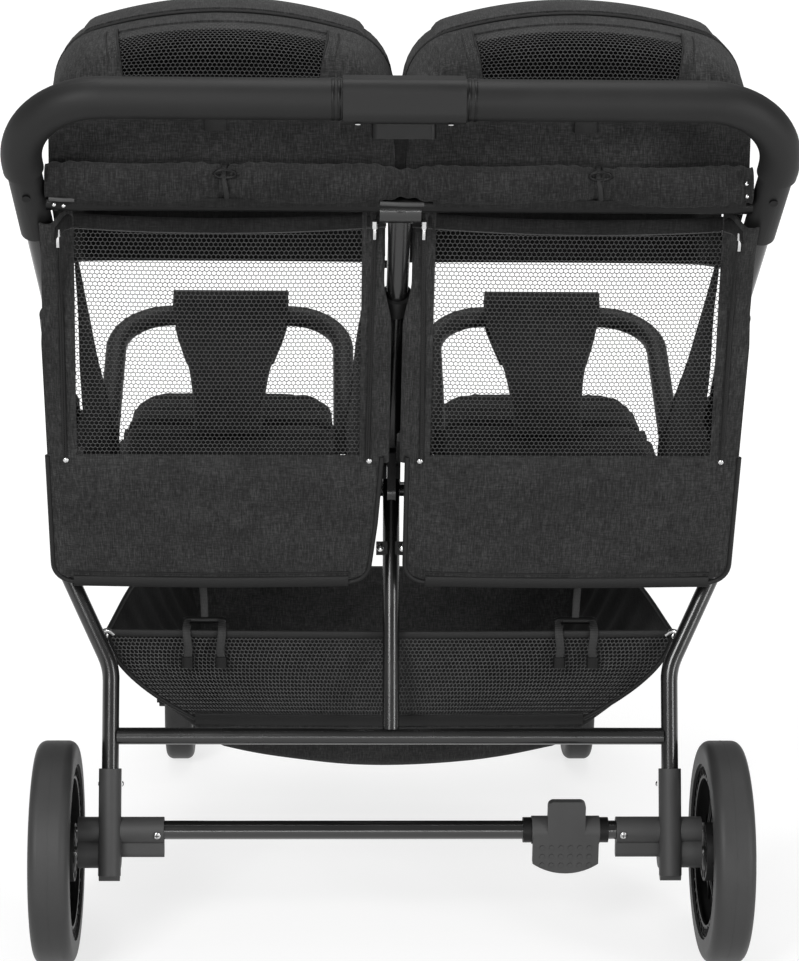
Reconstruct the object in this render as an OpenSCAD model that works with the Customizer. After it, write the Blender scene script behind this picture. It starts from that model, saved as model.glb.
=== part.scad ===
// Side by side double stroller with two seats on one folding tube frame.
// Millimetres, +Z up, +Y the way it travels, +X to the right of the person who pushes it.
// The origin lies on the floor, under the middle of the whole stroller.
// Pieces are drawn with the rear wheel axis at Y zero, and placed() moves them to the origin.

/* [Frame] */
// Height of the fold axis above the floor
fold_z = 517; // [500:1:535]
// Distance of the fold axis ahead of the rear wheel axis
fold_y = 140; // [130:1:150]
// Lean of the uprights back from vertical, in degrees
upright_tilt = 34.3; // [33:0.1:35]
// Lean of the rear legs from vertical, in degrees
rear_tilt = 21.4; // [20.5:0.1:22.5]
// Lean of the front legs from vertical, in degrees
front_tilt = 54.3; // [53:0.1:55]
// Half the distance between the two uprights at the hubs
upright_x = 343; // [342:1:348]
// Outer diameter of the upright and handle tube
upright_d = 24; // [22:1:25]
// Outer diameter of the front leg tube
front_leg_d = 22; // [20:1:22]
// Outer diameter of the rear leg, post and rear cross tube
rear_tube_d = 18; // [16:1:19]
// Wall of every tube
tube_wall = 1.6; // [1.2:0.1:2]
// Half the distance between the lower ends of the rear legs
rear_leg_x = 297; // [292:1:300]
// Height of the rear cross tube
rear_cross_z = 238; // [230:1:246]
// Height of the upper crossbar
crossbar_z = 834; // [826:1:840]
// Outer diameter of the upper crossbar and the seat tube
crossbar_d = 16; // [14:1:18]
// Outer diameter of the middle tube between the seats
center_tube_d = 22; // [20:1:24]

/* [Handle] */
// Height of the handle's straight grip
handle_z = 948; // [930:1:970]
// Half the distance between the corners that the handle's legs and its grip would meet in
handle_x = 367; // [364:1:370]
// Outer diameter of the foam grip
grip_d = 39; // [34:1:42]
// Bend radius of the handle's corners, at the tube's middle
handle_bend = 80; // [70:1:84]
// Width of the fold housing in the middle of the handle
housing_w = 114; // [105:1:125]
// Width of the squeeze trigger
trigger_w = 60; // [50:1:70]
// Travel of the squeeze trigger
trigger_travel = 5; // [3:0.5:6]
// Diameter of the snap buttons in the handle sockets
snap_d = 8; // [7:0.5:9]

/* [Seats] */
// Distance of each seat's middle from the stroller's middle
seat_x = 178; // [176:1:180]
// Width of the seat board
pan_w = 250; // [240:1:252]
// Depth of the seat board
pan_depth = 262; // [250:1:266]
// Thickness of the seat board
pan_t = 8; // [6:0.5:10]
// Rise of the seat board towards the front, in degrees
pan_rise = 6; // [5:0.5:7]
// Thickness of the seat cushion at its edge
pad_edge = 12; // [10:0.5:14]
// Height of the cushion's crown above its edge
pad_crown = 11; // [8:0.5:12]
// Length of the reclining back above its hinge
back_h = 388; // [370:1:392]
// Length of the back below its hinge
back_drop = 38; // [30:1:42]
// Lean of the back from vertical, in degrees
back_tilt = 14.5; // [13:0.5:16]
// Thickness of the back panel
back_t = 8; // [6:0.5:9]
// Length of the calf rest
calf_l = 166; // [150:1:175]
// Width of the calf rest
calf_w = 250; // [240:1:254]
// Thickness of the calf rest
calf_t = 14; // [12:1:16]

/* [Bumper bars] */
// Diameter of the padded bumper bar
bumper_d = 23; // [20:1:24]
// Height of the front of the bumper bar
bumper_z = 606; // [595:1:616]
// Distance of the front of the bumper bar ahead of the rear wheel axis
bumper_y = 398; // [385:1:405]
// Bend radius of the bumper bar's corners
bumper_bend = 62; // [50:1:64]
// Width of the cloth sleeve over the bumper bar
crotch_top_w = 128; // [120:1:136]
// Width of the cloth panel below the sleeve
crotch_low_w = 84; // [76:1:92]

/* [Canopies] */
// Radius of the canopy from its pivot to its roof
canopy_r = 262; // [250:1:266]
// Half the width of a canopy
canopy_half_w = 167; // [162:0.5:168]
// Radius of the canopy's rounded top corners
canopy_corner = 62; // [50:1:75]
// Radius of the roof's arch, seen from behind
canopy_roof_r = 420; // [380:5:600]
// Thickness of the canopy cloth with its lining
canopy_t = 2.5; // [2:0.1:2.6]
// Distance of the canopy pivot ahead of the upright, square to it
canopy_ahead = 50; // [48:1:56]
// Distance of the canopy pivot from the fold axis, along the upright
canopy_along = 245; // [240:1:250]
// Where the fixed rear part starts, forward of upright, in degrees
rear_shell_from = -48; // [-50:1:-46]
// Where the fixed rear part ends, forward of upright, in degrees
rear_shell_to = 34; // [33:1:36]
// Where the sliding front part starts, forward of upright, in degrees
front_shell_from = 30; // [28:1:31]
// Where the sliding front part ends, forward of upright, in degrees
front_shell_to = 102.5; // [96:0.5:103]

/* [Rear wheels] */
// Diameter of the rear wheels
rear_wheel_d = 236; // [228:1:240]
// Width of the rear tyres
rear_tyre_w = 42; // [38:1:43]
// Distance of each rear wheel's middle from the stroller's middle
rear_wheel_x = 353.5; // [352:0.5:356]
// Diameter of the rear stub axles
stub_d = 12; // [10:0.5:12]
// Height of the axle tube above the wheel axis
axle_rise = 24; // [23:0.5:26]
// Diameter of the axle tube
axle_d = 20; // [18:1:20]

/* [Front wheels] */
// Diameter of the front wheels
front_wheel_d = 152; // [144:1:153]
// Width of the front tyres
front_tyre_w = 34; // [30:1:35]
// Distance of each swivel axis from the stroller's middle
swivel_x = 248; // [242:1:254]
// Distance that the front axle trails the swivel axis
trail = 33; // [28:1:36]
// Diameter of the front axles
front_axle_d = 8; // [6:0.5:8]
// Diameter of the swivel stem
stem_d = 12; // [10:0.5:13]

/* [Brake] */
// Distance of the pedal's middle to the right of the stroller's middle
pedal_x = 186; // [170:1:190]
// Width of the pedal on the axle tube
pedal_w = 72; // [66:1:76]
// Travel of the brake pins
pin_travel = 9; // [7:0.5:10]
// Diameter of the brake pins
brake_pin_d = 7; // [6:0.5:7]

/* [Basket] */
// Height of the basket's rear rim
basket_rim_z = 330; // [324:1:338]
// Half the width of the basket's rear rim
basket_rim_x = 292; // [284:1:294]
// Lowest point of the sagging base
basket_base_z = 146; // [140:1:156]

/* [Hidden] */
$fn = 48;

// Clearances and the overrun of every cut
running = 0.05;
loose = 0.15;
soft_gap = 0.3;
overrun = 1;
weld_lap = 2;
bend_swell = 0.1;

// Colours
steel = [0.16, 0.16, 0.17];
plastic = [0.24, 0.24, 0.25];
foam = [0.13, 0.13, 0.14];
cloth = [0.19, 0.19, 0.2];
net = [0.12, 0.12, 0.13];
tread = [0.2, 0.2, 0.21];
bright = [0.75, 0.76, 0.78];

// Directions of the three legs of the frame, seen from the side
up_dir = [0, -sin(upright_tilt), cos(upright_tilt)];
up_square = [0, cos(upright_tilt), sin(upright_tilt)];
rear_dir = [0, -sin(rear_tilt), -cos(rear_tilt)];
front_dir = [0, sin(front_tilt), -cos(front_tilt)];
fold_point = [0, fold_y, fold_z];
function along(direction, x, s) = [x, 0, 0] + fold_point + direction * s;

// Distances along the uprights, which are parallel up to lean_s and then lean apart
socket_s = (crossbar_z - fold_z) / cos(upright_tilt);
handle_s = (handle_z - fold_z) / cos(upright_tilt);
lean_s = 247;
lean_bend = 120;
function lean_x(s) = upright_x + (handle_x - upright_x) * max(0, s - lean_s) / (handle_s - lean_s);
function upright_at(s) = along(up_dir, lean_x(s), s);
function mirrored(p) = [-p.x, p.y, p.z];
socket_below = 38;
socket_above = 44;
socket_wall = 4.5;
socket_d = upright_d + 2 * socket_wall;
snap_above = 22;
snap_s = socket_s + snap_above;
snap_proud = 2;
snap_depth = 12;
snap_travel = 3;

// Fold housing and its trigger
trigger_h = 16;
trigger_depth = 22;
trigger_seat = 2;
housing_h = 42;
housing_corner = 12;
housing_center = along(up_dir, 0, handle_s);
housing_low = handle_z - housing_h / 2;

// Side hinge hubs
hub_r = 28;
hub_gap = 0.3;
hub_inner_t = 14;
hub_outer_t = 13;
hub_inset = 5;
hub_split_x = upright_x - hub_inset;
hub_inner_x = hub_split_x - hub_inner_t;
hinge_pin_d = 8;
hinge_head_d = 15;
hinge_head_t = 3;
hub_sleeve_wall = 3.5;
hub_sleeve_start = 42;
hub_sleeve_l = 44;

// Front legs
front_leg_x = hub_inner_x;
front_bend_s = 120;
front_straight_s = 470;
leg_bend = 90;
leg_end_z = 205;
leg_end_s = (fold_z - leg_end_z) / cos(front_tilt);
front_cross_s = 440;
seat_tube_s = 115;
function front_leg_at(s) =
    front_leg_x - (front_leg_x - swivel_x) * (s - front_bend_s) / (front_straight_s - front_bend_s);

// Rear legs
leg_sleeve_r = front_leg_d / 2 + loose + hub_sleeve_wall;
rear_hub_x = front_leg_x + leg_sleeve_r + soft_gap + bend_swell + rear_tube_d / 2;
rear_bend_s = 118;
rear_straight_s = 227;
rear_bend = 60;
rear_cross_s = (fold_z - rear_cross_z) / cos(rear_tilt);
bracket_top_z = 206;
leg_seat_z = 160;
bracket_low_z = 101;
function rear_s(z) = (fold_z - z) / cos(rear_tilt);
bracket_wall = 3;
bracket_d = rear_tube_d + 2 * bracket_wall;

// Middle hinge
tongue_t = 9;
ear_t = 4;
ear_gap = 0.3;
ear_r = 13;
tube_start = 26;
post_block_s = 100;
post_block = [32, 16, 14];
rivet_d = 6;
rivet_proud = 1.2;
rivet_pitch = 24;
cap_w = 40;
cap_d = 26;
cap_drop = 8;

// Wheel axis and axle tube
rear_axis = [0, 0, rear_wheel_d / 2];
axle_ahead = 3;
axle_point = [0, axle_ahead, rear_wheel_d / 2 + axle_rise];
hub_in = 19;
boss_gap = 3.5;
bracket_inner_x = 240;
axle_seat = 40;
boss_end_x = rear_wheel_x - hub_in - boss_gap;
boss_r = 17;
axle_sleeve_wall = 4;
axle_sleeve_r = axle_d / 2 + axle_sleeve_wall;
web_t = 22;
bracket_screw_d = 7;
bracket_screw_proud = 1.5;
stub_head_d = 22;
stub_head_t = 3;
stub_root_x = 288;

// Rear wheel profile
rear_rim_r = 93;
shoulder_r = 10;
rim_lip = 6;
rim_w = 34;
hub_out = 18;
wheel_hub_r = 31;
web_wall = 7;
window_count = 6;
window_r = 16;
window_ring_r = 59;
pin_hole_count = 12;
pin_hole_play = 2;
pin_hole_d = brake_pin_d + pin_hole_play;
pin_hole_depth = 14;

// Brake
collar_t = 9;
collar_wall = 3.5;
collar_d = axle_d + 2 * collar_wall;
pedal_sleeve_wall = 5;
pedal_sleeve_d = axle_d + 2 * pedal_sleeve_wall;
pedal_gap = 0.3;
lobe_t = 9;
lobe_up_w = 40;
lobe_up_h = 38;
lobe_low_w = 70;
lobe_low_h = 44;
lobe_fan_r = 60;
lobe_corner = 6;
pedal_bump_d = 5;
pedal_bump_proud = 1;
pedal_bump_count = 6;
pedal_bump_rows = 3;
pin_root_x = 300;
pin_tip_proud = 2;
pin_tip_x = boss_end_x + pin_tip_proud;

// Swivel castors
swivel_ahead = 12;
swivel_y = along(front_dir, 0, leg_end_s).y + swivel_ahead;
front_axle_y = swivel_y - trail;
front_axle_z = front_wheel_d / 2;
crown_gap = 4;
crown_t = 14;
crown_z = front_wheel_d + crown_gap;
housing_gap = 0.5;
swivel_z = crown_z + crown_t + housing_gap;
swivel_h = 52;
swivel_r = 24;
stem_h = 34;
crown_r = 20;
fork_gap = 3;
fork_t = 7;
fork_r = 11;
fork_x = front_tyre_w / 2 + fork_gap;
axle_head_d = 13;
axle_head_t = 3;
front_rim_r = 52;
front_rim_w = 23;
front_shoulder_r = 9;
front_hub_r = 13;
front_web_wall = 6;
front_hole_count = 5;
front_hole_r = 9;
front_hole_ring_r = 33;

// Middle of the whole stroller along Y
handle_y = along(up_dir, 0, handle_s).y;
rear_reach = handle_y - max(grip_d, housing_h) / 2;
front_reach = front_axle_y + front_wheel_d / 2;
mid_y = (rear_reach + front_reach) / 2;

// Seat boards rest on the seat tube
seat_tube_point = along(front_dir, 0, seat_tube_s);
pan_behind = 152;
pan_origin = seat_tube_point + [0, 0, (crossbar_d / 2 + soft_gap) / cos(pan_rise)];
function pan_point(x, y, h) = pan_origin + [x, y * cos(pan_rise) - h * sin(pan_rise),
    y * sin(pan_rise) + h * cos(pan_rise)];
pan_corner = 20;
lug_w = 10;
lug_r = 8;
rod_d = 8;
lug_share = 0.36;
back_hinge_out = 24;
back_hinge_up = -4;
calf_hinge_out = 12;
calf_lug_wall = 2;
calf_lug_r = rod_d / 2 + calf_lug_wall;
back_axis = pan_point(0, -pan_behind - back_hinge_out, back_hinge_up);
calf_axis = pan_point(0, pan_depth - pan_behind + calf_hinge_out, pan_t - calf_lug_r);

// Cushion
pad_inset = 3;
pad_draw_share = 0.03;
pad_power = 4;
pad_columns = 18;
pad_rows = 20;
pad_channel = 3;
pad_channel_w_share = 0.07;
pad_channel_shares = [-0.45, 0.1, 0.6];

// Reclining back
back_inner_x = 18;
back_low_proud = 7;
back_top_inset = 15;
back_outer_low_x = upright_x + back_low_proud;
back_outer_top_x = upright_x - back_top_inset;
back_corner = 24;
rod_lap = 2;
rod_behind = back_t / 2 + rod_d / 2 - rod_lap;
notch_side = 2.5;
notch_end = 4;
notch_w = lug_w + 2 * notch_side;
notch_h = 2 * (lug_r + notch_end);
mesh_low = 120;
mesh_top_margin = 26;
mesh_side_margin = 20;
mesh_columns = 10;
mesh_rows = 14;
mesh_bar_share = 0.24;

// Side wings of net between each back and its seat
wing_t = 2;
wing_outside = 5;
wing_inside = 20;
wing_outer_x = seat_x + pan_w / 2 + wing_outside;
wing_inner_x = seat_x - pan_w / 2 - wing_inside;
wing_gap = 6;
wing_front = 46;
wing_top_share = 0.92;

// Calf rest
calf_corner = 70;
calf_front_gap = 10;

// Bumper bars and their mounts
bumper_outer_x = 306;
bumper_inner_x = 50;
bumper_mount_y = 205;
bumper_foot_z = 508;
bumper_foot_h = 22;
bumper_start_z = 520;
mount_r = 12;
mount_gap = 0.3;
gate_pin_d = 8;
gate_pin_h = 14;
center_mount_w = 26;
mount_plate_t = 6;
crotch_t = 4;
crotch_wall = 5;
crotch_foot_y = 258;
crotch_foot_z = 507;
crotch_taper_share = 0.3;

// Canopies
canopy_pivot = fold_point + up_dir * canopy_along + up_square * canopy_ahead;
canopy_inward = 6;
canopy_x = seat_x - canopy_inward;
canopy_gap = 1.5;
canopy_back = 107;
pivot_pin_d = 8;
pivot_disc_r = 15;
ear_proud = 0.3;
pivot_arm_t = 4;
pivot_arm_r = 10;
pivot_plate_t = 6;
pivot_collar_l = 22;
pivot_collar_s = 212;
pivot_collar_wall = 4;
pivot_lap = 2;

// Rolled up rear flap on the crossbar
flap_end_gap = 3;
flap_half_w = lean_x(socket_s) - socket_d / 2 - flap_end_gap;
flap_ry = 16;
flap_rz = 17;
flap_behind = 6;
flap_rings = 48;
flap_sides = 12;
flap_gather_share = 0.22;
flap_gather_w = 26;
flap_tie_shares = [-1, -0.5, 0, 0.5, 1];
flap_wave = 1.2;
flap_waves = 13;

// Basket
basket_wall = 3;
basket_rear_gap = 22;
basket_low_z = 228;
basket_low_y = 84;
basket_low_x = 218;
basket_belly_y = 190;
basket_belly_x = 140;
basket_front_low_y = 400;
basket_front_low_z = 214;
basket_front_x = 232;
basket_front_drop = 14;
basket_front_gap = 4;
basket_hook_d = 5;
basket_hook_gap = 0.8;
basket_above = 60;

// Straps below the seats
strap_t = 2;
strap_w = 24;
strap_l = 96;
strap_bar = [44, 9, 10];
strap_tail_w = 10;
strap_tail_l = 38;
strap_tip = [14, 6, 12];
strap_y_share = 0.06;
strap_aside = 21;

function unit(v) = v / norm(v);
function turn_at(pts, i) = acos(unit(pts[i] - pts[i - 1]) * unit(pts[i + 1] - pts[i]));
function cut_at(pts, i, bend) =
    i == 0 || i == len(pts) - 1 ? 0 : bend * tan(turn_at(pts, i) / 2);

// Moves a piece from the wheel axis frame to the origin
module placed() {
    translate([0, -mid_y, 0]) children();
}

// Draws a piece on the right, or its mirror image on the left
module on_side(side) {
    if (side > 0) children();
    else mirror([1, 0, 0]) children();
}

module ring_2d(d, wall) {
    difference() {
        circle(d = d);
        circle(d = d - 2 * wall);
    }
}

// Round bar from point a to point b
module rod(a, b, d) {
    v = b - a;
    translate(a) rotate([0, acos(v.z / norm(v)), atan2(v.y, v.x)]) cylinder(d = d, h = norm(v));
}

// Hollow straight tube from point a to point b
module straight_tube(a, b, d, wall) {
    v = b - a;
    translate(a) rotate([0, acos(v.z / norm(v)), atan2(v.y, v.x)])
        linear_extrude(norm(v)) ring_2d(d, wall);
}

// Round bar along a list of points. Each bend is a swell thicker, so the straights end inside it
module bent_rod(pts, d, bend) {
    last = len(pts) - 1;
    for (i = [0 : last - 1]) {
        u = unit(pts[i + 1] - pts[i]);
        from = cut_at(pts, i, bend) - (i == 0 ? 0 : weld_lap);
        to = cut_at(pts, i + 1, bend) - (i == last - 1 ? 0 : weld_lap);
        rod(pts[i] + u * from, pts[i + 1] - u * to, d);
    }
    for (i = [1 : last - 1]) {
        u = unit(pts[i] - pts[i - 1]);
        n = unit(cross(u, unit(pts[i + 1] - pts[i])));
        m = cross(n, u);
        c = pts[i] - u * cut_at(pts, i, bend) + m * bend;
        multmatrix([[-m.x, u.x, n.x, c.x], [-m.y, u.y, n.y, c.y], [-m.z, u.z, n.z, c.z]])
            rotate_extrude(angle = turn_at(pts, i)) translate([bend, 0]) circle(d = d + 2 * bend_swell);
    }
}

function stretched(pts, by) = [for (i = [0 : len(pts) - 1])
    i == 0 ? pts[0] - unit(pts[1] - pts[0]) * by
    : i == len(pts) - 1 ? pts[i] + unit(pts[i] - pts[i - 1]) * by : pts[i]];

// Hollow tube along a list of points, with round bends
module bent_tube(pts, d, wall, bend) {
    difference() {
        bent_rod(pts, d, bend);
        bent_rod(stretched(pts, overrun), d - 2 * wall, bend);
    }
}

// Disc or bar whose axis lies along X
module x_disc(x0, x1, at, r) {
    translate([x0, at.y, at.z]) rotate([0, 90, 0]) cylinder(r = r, h = x1 - x0);
}

// Outline in the YZ plane drawn from x0 to x1
module x_plate(x0, x1) {
    translate([x0, 0, 0]) rotate([90, 0, 90]) linear_extrude(x1 - x0) children();
}

// Link with round ends between two points of the YZ plane
module link_2d(a, b, r) {
    v = b - a;
    side = [-v.y, v.x] / norm(v) * r;
    translate(a) circle(r);
    translate(b) circle(r);
    polygon([a + side, b + side, b - side, a - side]);
}

module rounded_2d(w, h, r) {
    square([w - 2 * r, h], center = true);
    square([w, h - 2 * r], center = true);
    for (x = [-1, 1], y = [-1, 1]) translate([x * (w / 2 - r), y * (h / 2 - r)]) circle(r);
}

function yz(p) = [p.y, p.z];

// Uprights and front legs
module uprights() {
    color(steel) for (side = [-1, 1]) on_side(side)
        bent_tube([upright_at(hub_sleeve_start), upright_at(lean_s), upright_at(socket_s)],
            upright_d, tube_wall, lean_bend);
}

module front_legs() {
    color(steel) for (side = [-1, 1]) on_side(side)
        bent_tube([along(front_dir, front_leg_x, hub_sleeve_start),
            along(front_dir, front_leg_x, front_bend_s), along(front_dir, swivel_x, front_straight_s),
            along(front_dir, swivel_x, leg_end_s)], front_leg_d, tube_wall, leg_bend);
}

// Plastic knuckle that holds an upright and a front leg and carries the rear leg's pin
module side_hub(side) {
    upright_bore = upright_d / 2 + loose;
    leg_bore = front_leg_d / 2 + loose;
    upright_from = upright_at(hub_sleeve_start);
    leg_from = along(front_dir, front_leg_x, hub_sleeve_start);
    color(plastic) on_side(side) difference() {
        union() {
            x_disc(hub_inner_x, hub_split_x, fold_point, hub_r);
            x_plate(hub_inner_x, hub_split_x) {
                link_2d(yz(fold_point), yz(upright_from + up_dir * upright_d / 2), upright_d / 2);
                link_2d(yz(fold_point), yz(leg_from + front_dir * front_leg_d / 2), front_leg_d / 2);
            }
            rod(upright_from, upright_from + up_dir * hub_sleeve_l, 2 * (upright_bore + hub_sleeve_wall));
            rod(leg_from, leg_from + front_dir * hub_sleeve_l, 2 * (leg_bore + hub_sleeve_wall));
        }
        rod(upright_from, upright_from + up_dir * (hub_sleeve_l + overrun), 2 * upright_bore);
        rod(leg_from, leg_from + front_dir * (hub_sleeve_l + overrun), 2 * leg_bore);
        x_disc(hub_inner_x - overrun, hub_split_x + overrun, fold_point, hinge_pin_d / 2);
    }
}

module hinge_pins() {
    outer_x = hub_split_x + hub_gap + hub_outer_t + soft_gap;
    middle_x = tongue_t / 2 + ear_gap + ear_t + soft_gap;
    color(bright) for (side = [-1, 1]) on_side(side) {
        x_disc(hub_inner_x, outer_x, fold_point, hinge_pin_d / 2);
        x_disc(outer_x, outer_x + hinge_head_t, fold_point, hinge_head_d / 2);
    }
    color(bright) {
        x_disc(-middle_x, middle_x, fold_point, hinge_pin_d / 2);
        x_disc(middle_x, middle_x + hinge_head_t, fold_point, hinge_head_d / 2);
        x_disc(-middle_x - hinge_head_t, -middle_x, fold_point, hinge_head_d / 2);
    }
}

// Handle
module handle_bar() {
    color(steel) difference() {
        bent_tube([mirrored(upright_at(socket_s)), mirrored(upright_at(handle_s)),
            upright_at(handle_s), upright_at(socket_s)], upright_d, tube_wall, handle_bend);
        for (side = [-1, 1]) on_side(side) snap_bore(upright_d);
    }
}

module handle_grips() {
    color(foam) for (side = [-1, 1]) on_side(side)
        bent_tube([along(up_dir, housing_w / 2 + soft_gap, handle_s), upright_at(handle_s),
            upright_at(socket_s + socket_above + soft_gap)],
            grip_d, (grip_d - upright_d) / 2 - loose, handle_bend);
}

module handle_sockets() {
    color(plastic) for (side = [-1, 1]) on_side(side) difference() {
        straight_tube(upright_at(socket_s - socket_below), upright_at(socket_s + socket_above),
            socket_d, (socket_d - upright_d) / 2 - loose);
        snap_bore(socket_d);
    }
}

module snap_bore(depth) {
    at = upright_at(snap_s);
    rod(at, at - up_square * depth, snap_d + 2 * running);
}

module snap_button(side) {
    at = upright_at(snap_s);
    tip = socket_d / 2 + snap_proud;
    color(bright) on_side(side) rod(at - up_square * (tip - snap_depth), at - up_square * tip, snap_d);
}

module fold_housing() {
    slot_h = trigger_seat + trigger_travel + soft_gap;
    color(plastic) difference() {
        translate([-housing_w / 2, housing_center.y, housing_center.z]) rotate([90, 0, 90])
            linear_extrude(housing_w) rounded_2d(housing_h, housing_h, housing_corner);
        x_disc(-housing_w, housing_w, housing_center, upright_d / 2 + loose);
        translate([-trigger_w / 2 - soft_gap, housing_center.y - trigger_depth / 2 - soft_gap,
            housing_low - overrun])
            cube([trigger_w + 2 * soft_gap, trigger_depth + 2 * soft_gap, slot_h + overrun]);
    }
}

module fold_trigger() {
    color(plastic) translate([0, housing_center.y, housing_low + trigger_seat - trigger_h])
        linear_extrude(trigger_h) rounded_2d(trigger_w, trigger_depth, lobe_corner);
}

// Crossbar, middle tube and the other fixed tubes
module upper_crossbar() {
    reach = lean_x(socket_s) - socket_d / 2 + weld_lap;
    at = along(up_dir, 0, socket_s);
    color(steel) straight_tube([-reach, at.y, at.z], [reach, at.y, at.z], crossbar_d, tube_wall);
}

module center_tube() {
    ear_x = tongue_t / 2 + ear_gap;
    start = along(up_dir, 0, tube_start);
    top = along(up_dir, 0, socket_s);
    color(steel) difference() {
        union() {
            rod(start, top, center_tube_d);
            for (side = [-1, 1]) on_side(side) x_plate(ear_x, ear_x + ear_t)
                link_2d(yz(fold_point), yz(start + up_dir * ear_r), ear_r);
            x_disc(-cap_w / 2, cap_w / 2, along(up_dir, 0, socket_s - cap_drop), cap_d / 2);
        }
        x_disc(-cap_w, cap_w, fold_point, hinge_pin_d / 2);
        x_disc(-cap_w, cap_w, top, crossbar_d / 2 + loose);
    }
}

module front_cross_tube() {
    reach = front_leg_at(front_cross_s) - front_leg_d / 2 + weld_lap;
    at = along(front_dir, 0, front_cross_s);
    color(steel) straight_tube([-reach, at.y, at.z], [reach, at.y, at.z], rear_tube_d, tube_wall);
}

module seat_tube() {
    reach = front_leg_x - front_leg_d / 2 + weld_lap;
    at = seat_tube_point;
    color(steel) straight_tube([-reach, at.y, at.z], [reach, at.y, at.z], crossbar_d, tube_wall);
}

// Housings at the feet of the front legs
module swivel_housings() {
    leg_foot = along(front_dir, swivel_x, leg_end_s);
    sleeve_l = 2 * swivel_r;
    color(plastic) for (side = [-1, 1]) on_side(side) difference() {
        union() {
            translate([swivel_x, swivel_y, swivel_z]) cylinder(r = swivel_r, h = swivel_h);
            rod(leg_foot - front_dir * sleeve_l, leg_foot, front_leg_d + 2 * hub_sleeve_wall);
        }
        rod(leg_foot - front_dir * (sleeve_l + overrun), leg_foot, front_leg_d + 2 * loose);
        translate([swivel_x, swivel_y, swivel_z - overrun])
            cylinder(d = stem_d + 2 * running, h = stem_h + 2 * overrun);
    }
}

// Seat boards with lugs for the back and the calf rest
module pan_frame() {
    translate(pan_origin) rotate([pan_rise, 0, 0]) children();
}

module hinge_lug(x, axis, root, r) {
    x_plate(x - lug_w / 2, x + lug_w / 2) link_2d(yz(axis), yz(root), r);
}

module seat_pan(side) {
    back_root = pan_point(0, -pan_behind + lug_r, pan_t - lug_r);
    calf_root = pan_point(0, pan_depth - pan_behind - lug_r, pan_t - calf_lug_r);
    color(plastic) on_side(side) difference() {
        union() {
            pan_frame() translate([seat_x, pan_depth / 2 - pan_behind, 0])
                linear_extrude(pan_t) rounded_2d(pan_w, pan_depth, pan_corner);
            for (share = [-lug_share, lug_share]) {
                hinge_lug(seat_x + share * pan_w, back_axis, back_root, lug_r);
                hinge_lug(seat_x + share * pan_w, calf_axis, calf_root, calf_lug_r);
            }
        }
        x_disc(0, 2 * seat_x, back_axis, rod_d / 2 + running);
        x_disc(0, 2 * seat_x, calf_axis, rod_d / 2 + running);
    }
}

// Crowned cushion with drawn-in sides and sewn channels
function pad_channel_depth(v) =
    pad_channel * max([for (c = pad_channel_shares) exp(-pow((v - c) / pad_channel_w_share, 2))]);
function pad_top(u, v) = pad_edge
    + pad_crown * (1 - pow(u, pad_power)) * (1 - pow(v, pad_power))
    - pad_channel_depth(v) * (1 - pow(u, pad_power)) * (1 - pow(v, pad_power));
function pad_xy(u, v) = [
    (pan_w / 2 - pad_inset) * u * (1 - pad_draw_share * (1 - v * v)),
    (pan_depth / 2 - pad_inset) * v * (1 - pad_draw_share * (1 - u * u))];

module seat_pad(side) {
    across = pad_columns + 1;
    count = across * (pad_rows + 1);
    grid = [for (j = [0 : pad_rows], i = [0 : pad_columns]) [2 * i / pad_columns - 1, 2 * j / pad_rows - 1]];
    top = [for (g = grid) concat(pad_xy(g.x, g.y), [pad_top(g.x, g.y)])];
    low = [for (g = grid) concat(pad_xy(g.x, g.y), [0])];
    cells = [for (j = [0 : pad_rows - 1], i = [0 : pad_columns - 1]) j * across + i];
    rim = concat(
        [for (i = [0 : pad_columns]) i], [for (j = [1 : pad_rows]) j * across + pad_columns],
        [for (i = [1 : pad_columns]) count - 1 - i],
        [for (j = [1 : pad_rows - 1]) count - across - j * across]);
    edges = [for (k = [0 : len(rim) - 1]) [rim[k], rim[(k + 1) % len(rim)]]];
    faces = concat(
        [for (c = cells) [c, c + across, c + 1]], [for (c = cells) [c + 1, c + across, c + across + 1]],
        [for (c = cells) [count + c, count + c + 1, count + c + across]],
        [for (c = cells) [count + c + 1, count + c + across + 1, count + c + across]],
        [for (e = edges) [e[0], e[1], count + e[1]]],
        [for (e = edges) [e[0], count + e[1], count + e[0]]]);
    color(cloth) on_side(side) pan_frame()
        translate([seat_x, pan_depth / 2 - pan_behind, pan_t + soft_gap])
            polyhedron(concat(top, low), faces);
}

// Reclining backs: cloth below, net above
module back_frame() {
    translate(back_axis) rotate([back_tilt, 0, 0]) translate([0, -rod_behind, 0]) rotate([90, 0, 0])
        translate([0, 0, -back_t / 2]) children();
}

function back_outer(h) = back_outer_low_x
    - (back_outer_low_x - back_outer_top_x) * (h + back_drop) / (back_h + back_drop);

module net_holes() {
    top = back_h - mesh_top_margin;
    pitch = (top - mesh_low) / mesh_rows;
    for (j = [0 : mesh_rows - 1]) {
        h = mesh_low + (2 * j + 1) * pitch / 2;
        left = back_inner_x + mesh_side_margin;
        step = (back_outer(h) - mesh_side_margin - left) / mesh_columns;
        for (i = [0 : mesh_columns - 1])
            translate([left + (2 * i + 1) * step / 2, h])
                square([step, pitch] * (1 - mesh_bar_share), center = true);
    }
}

module back_outline() {
    low_x = back_outer(-back_drop);
    low_h = back_corner - back_drop;
    polygon([[back_inner_x, low_h], [low_x, low_h], [back_outer(back_h), back_h], [back_inner_x, back_h]]);
    translate([back_inner_x + back_corner, -back_drop])
        square([low_x - back_inner_x - 2 * back_corner, back_corner]);
    for (x = [back_inner_x + back_corner, low_x - back_corner]) translate([x, low_h]) circle(back_corner);
}

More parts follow.
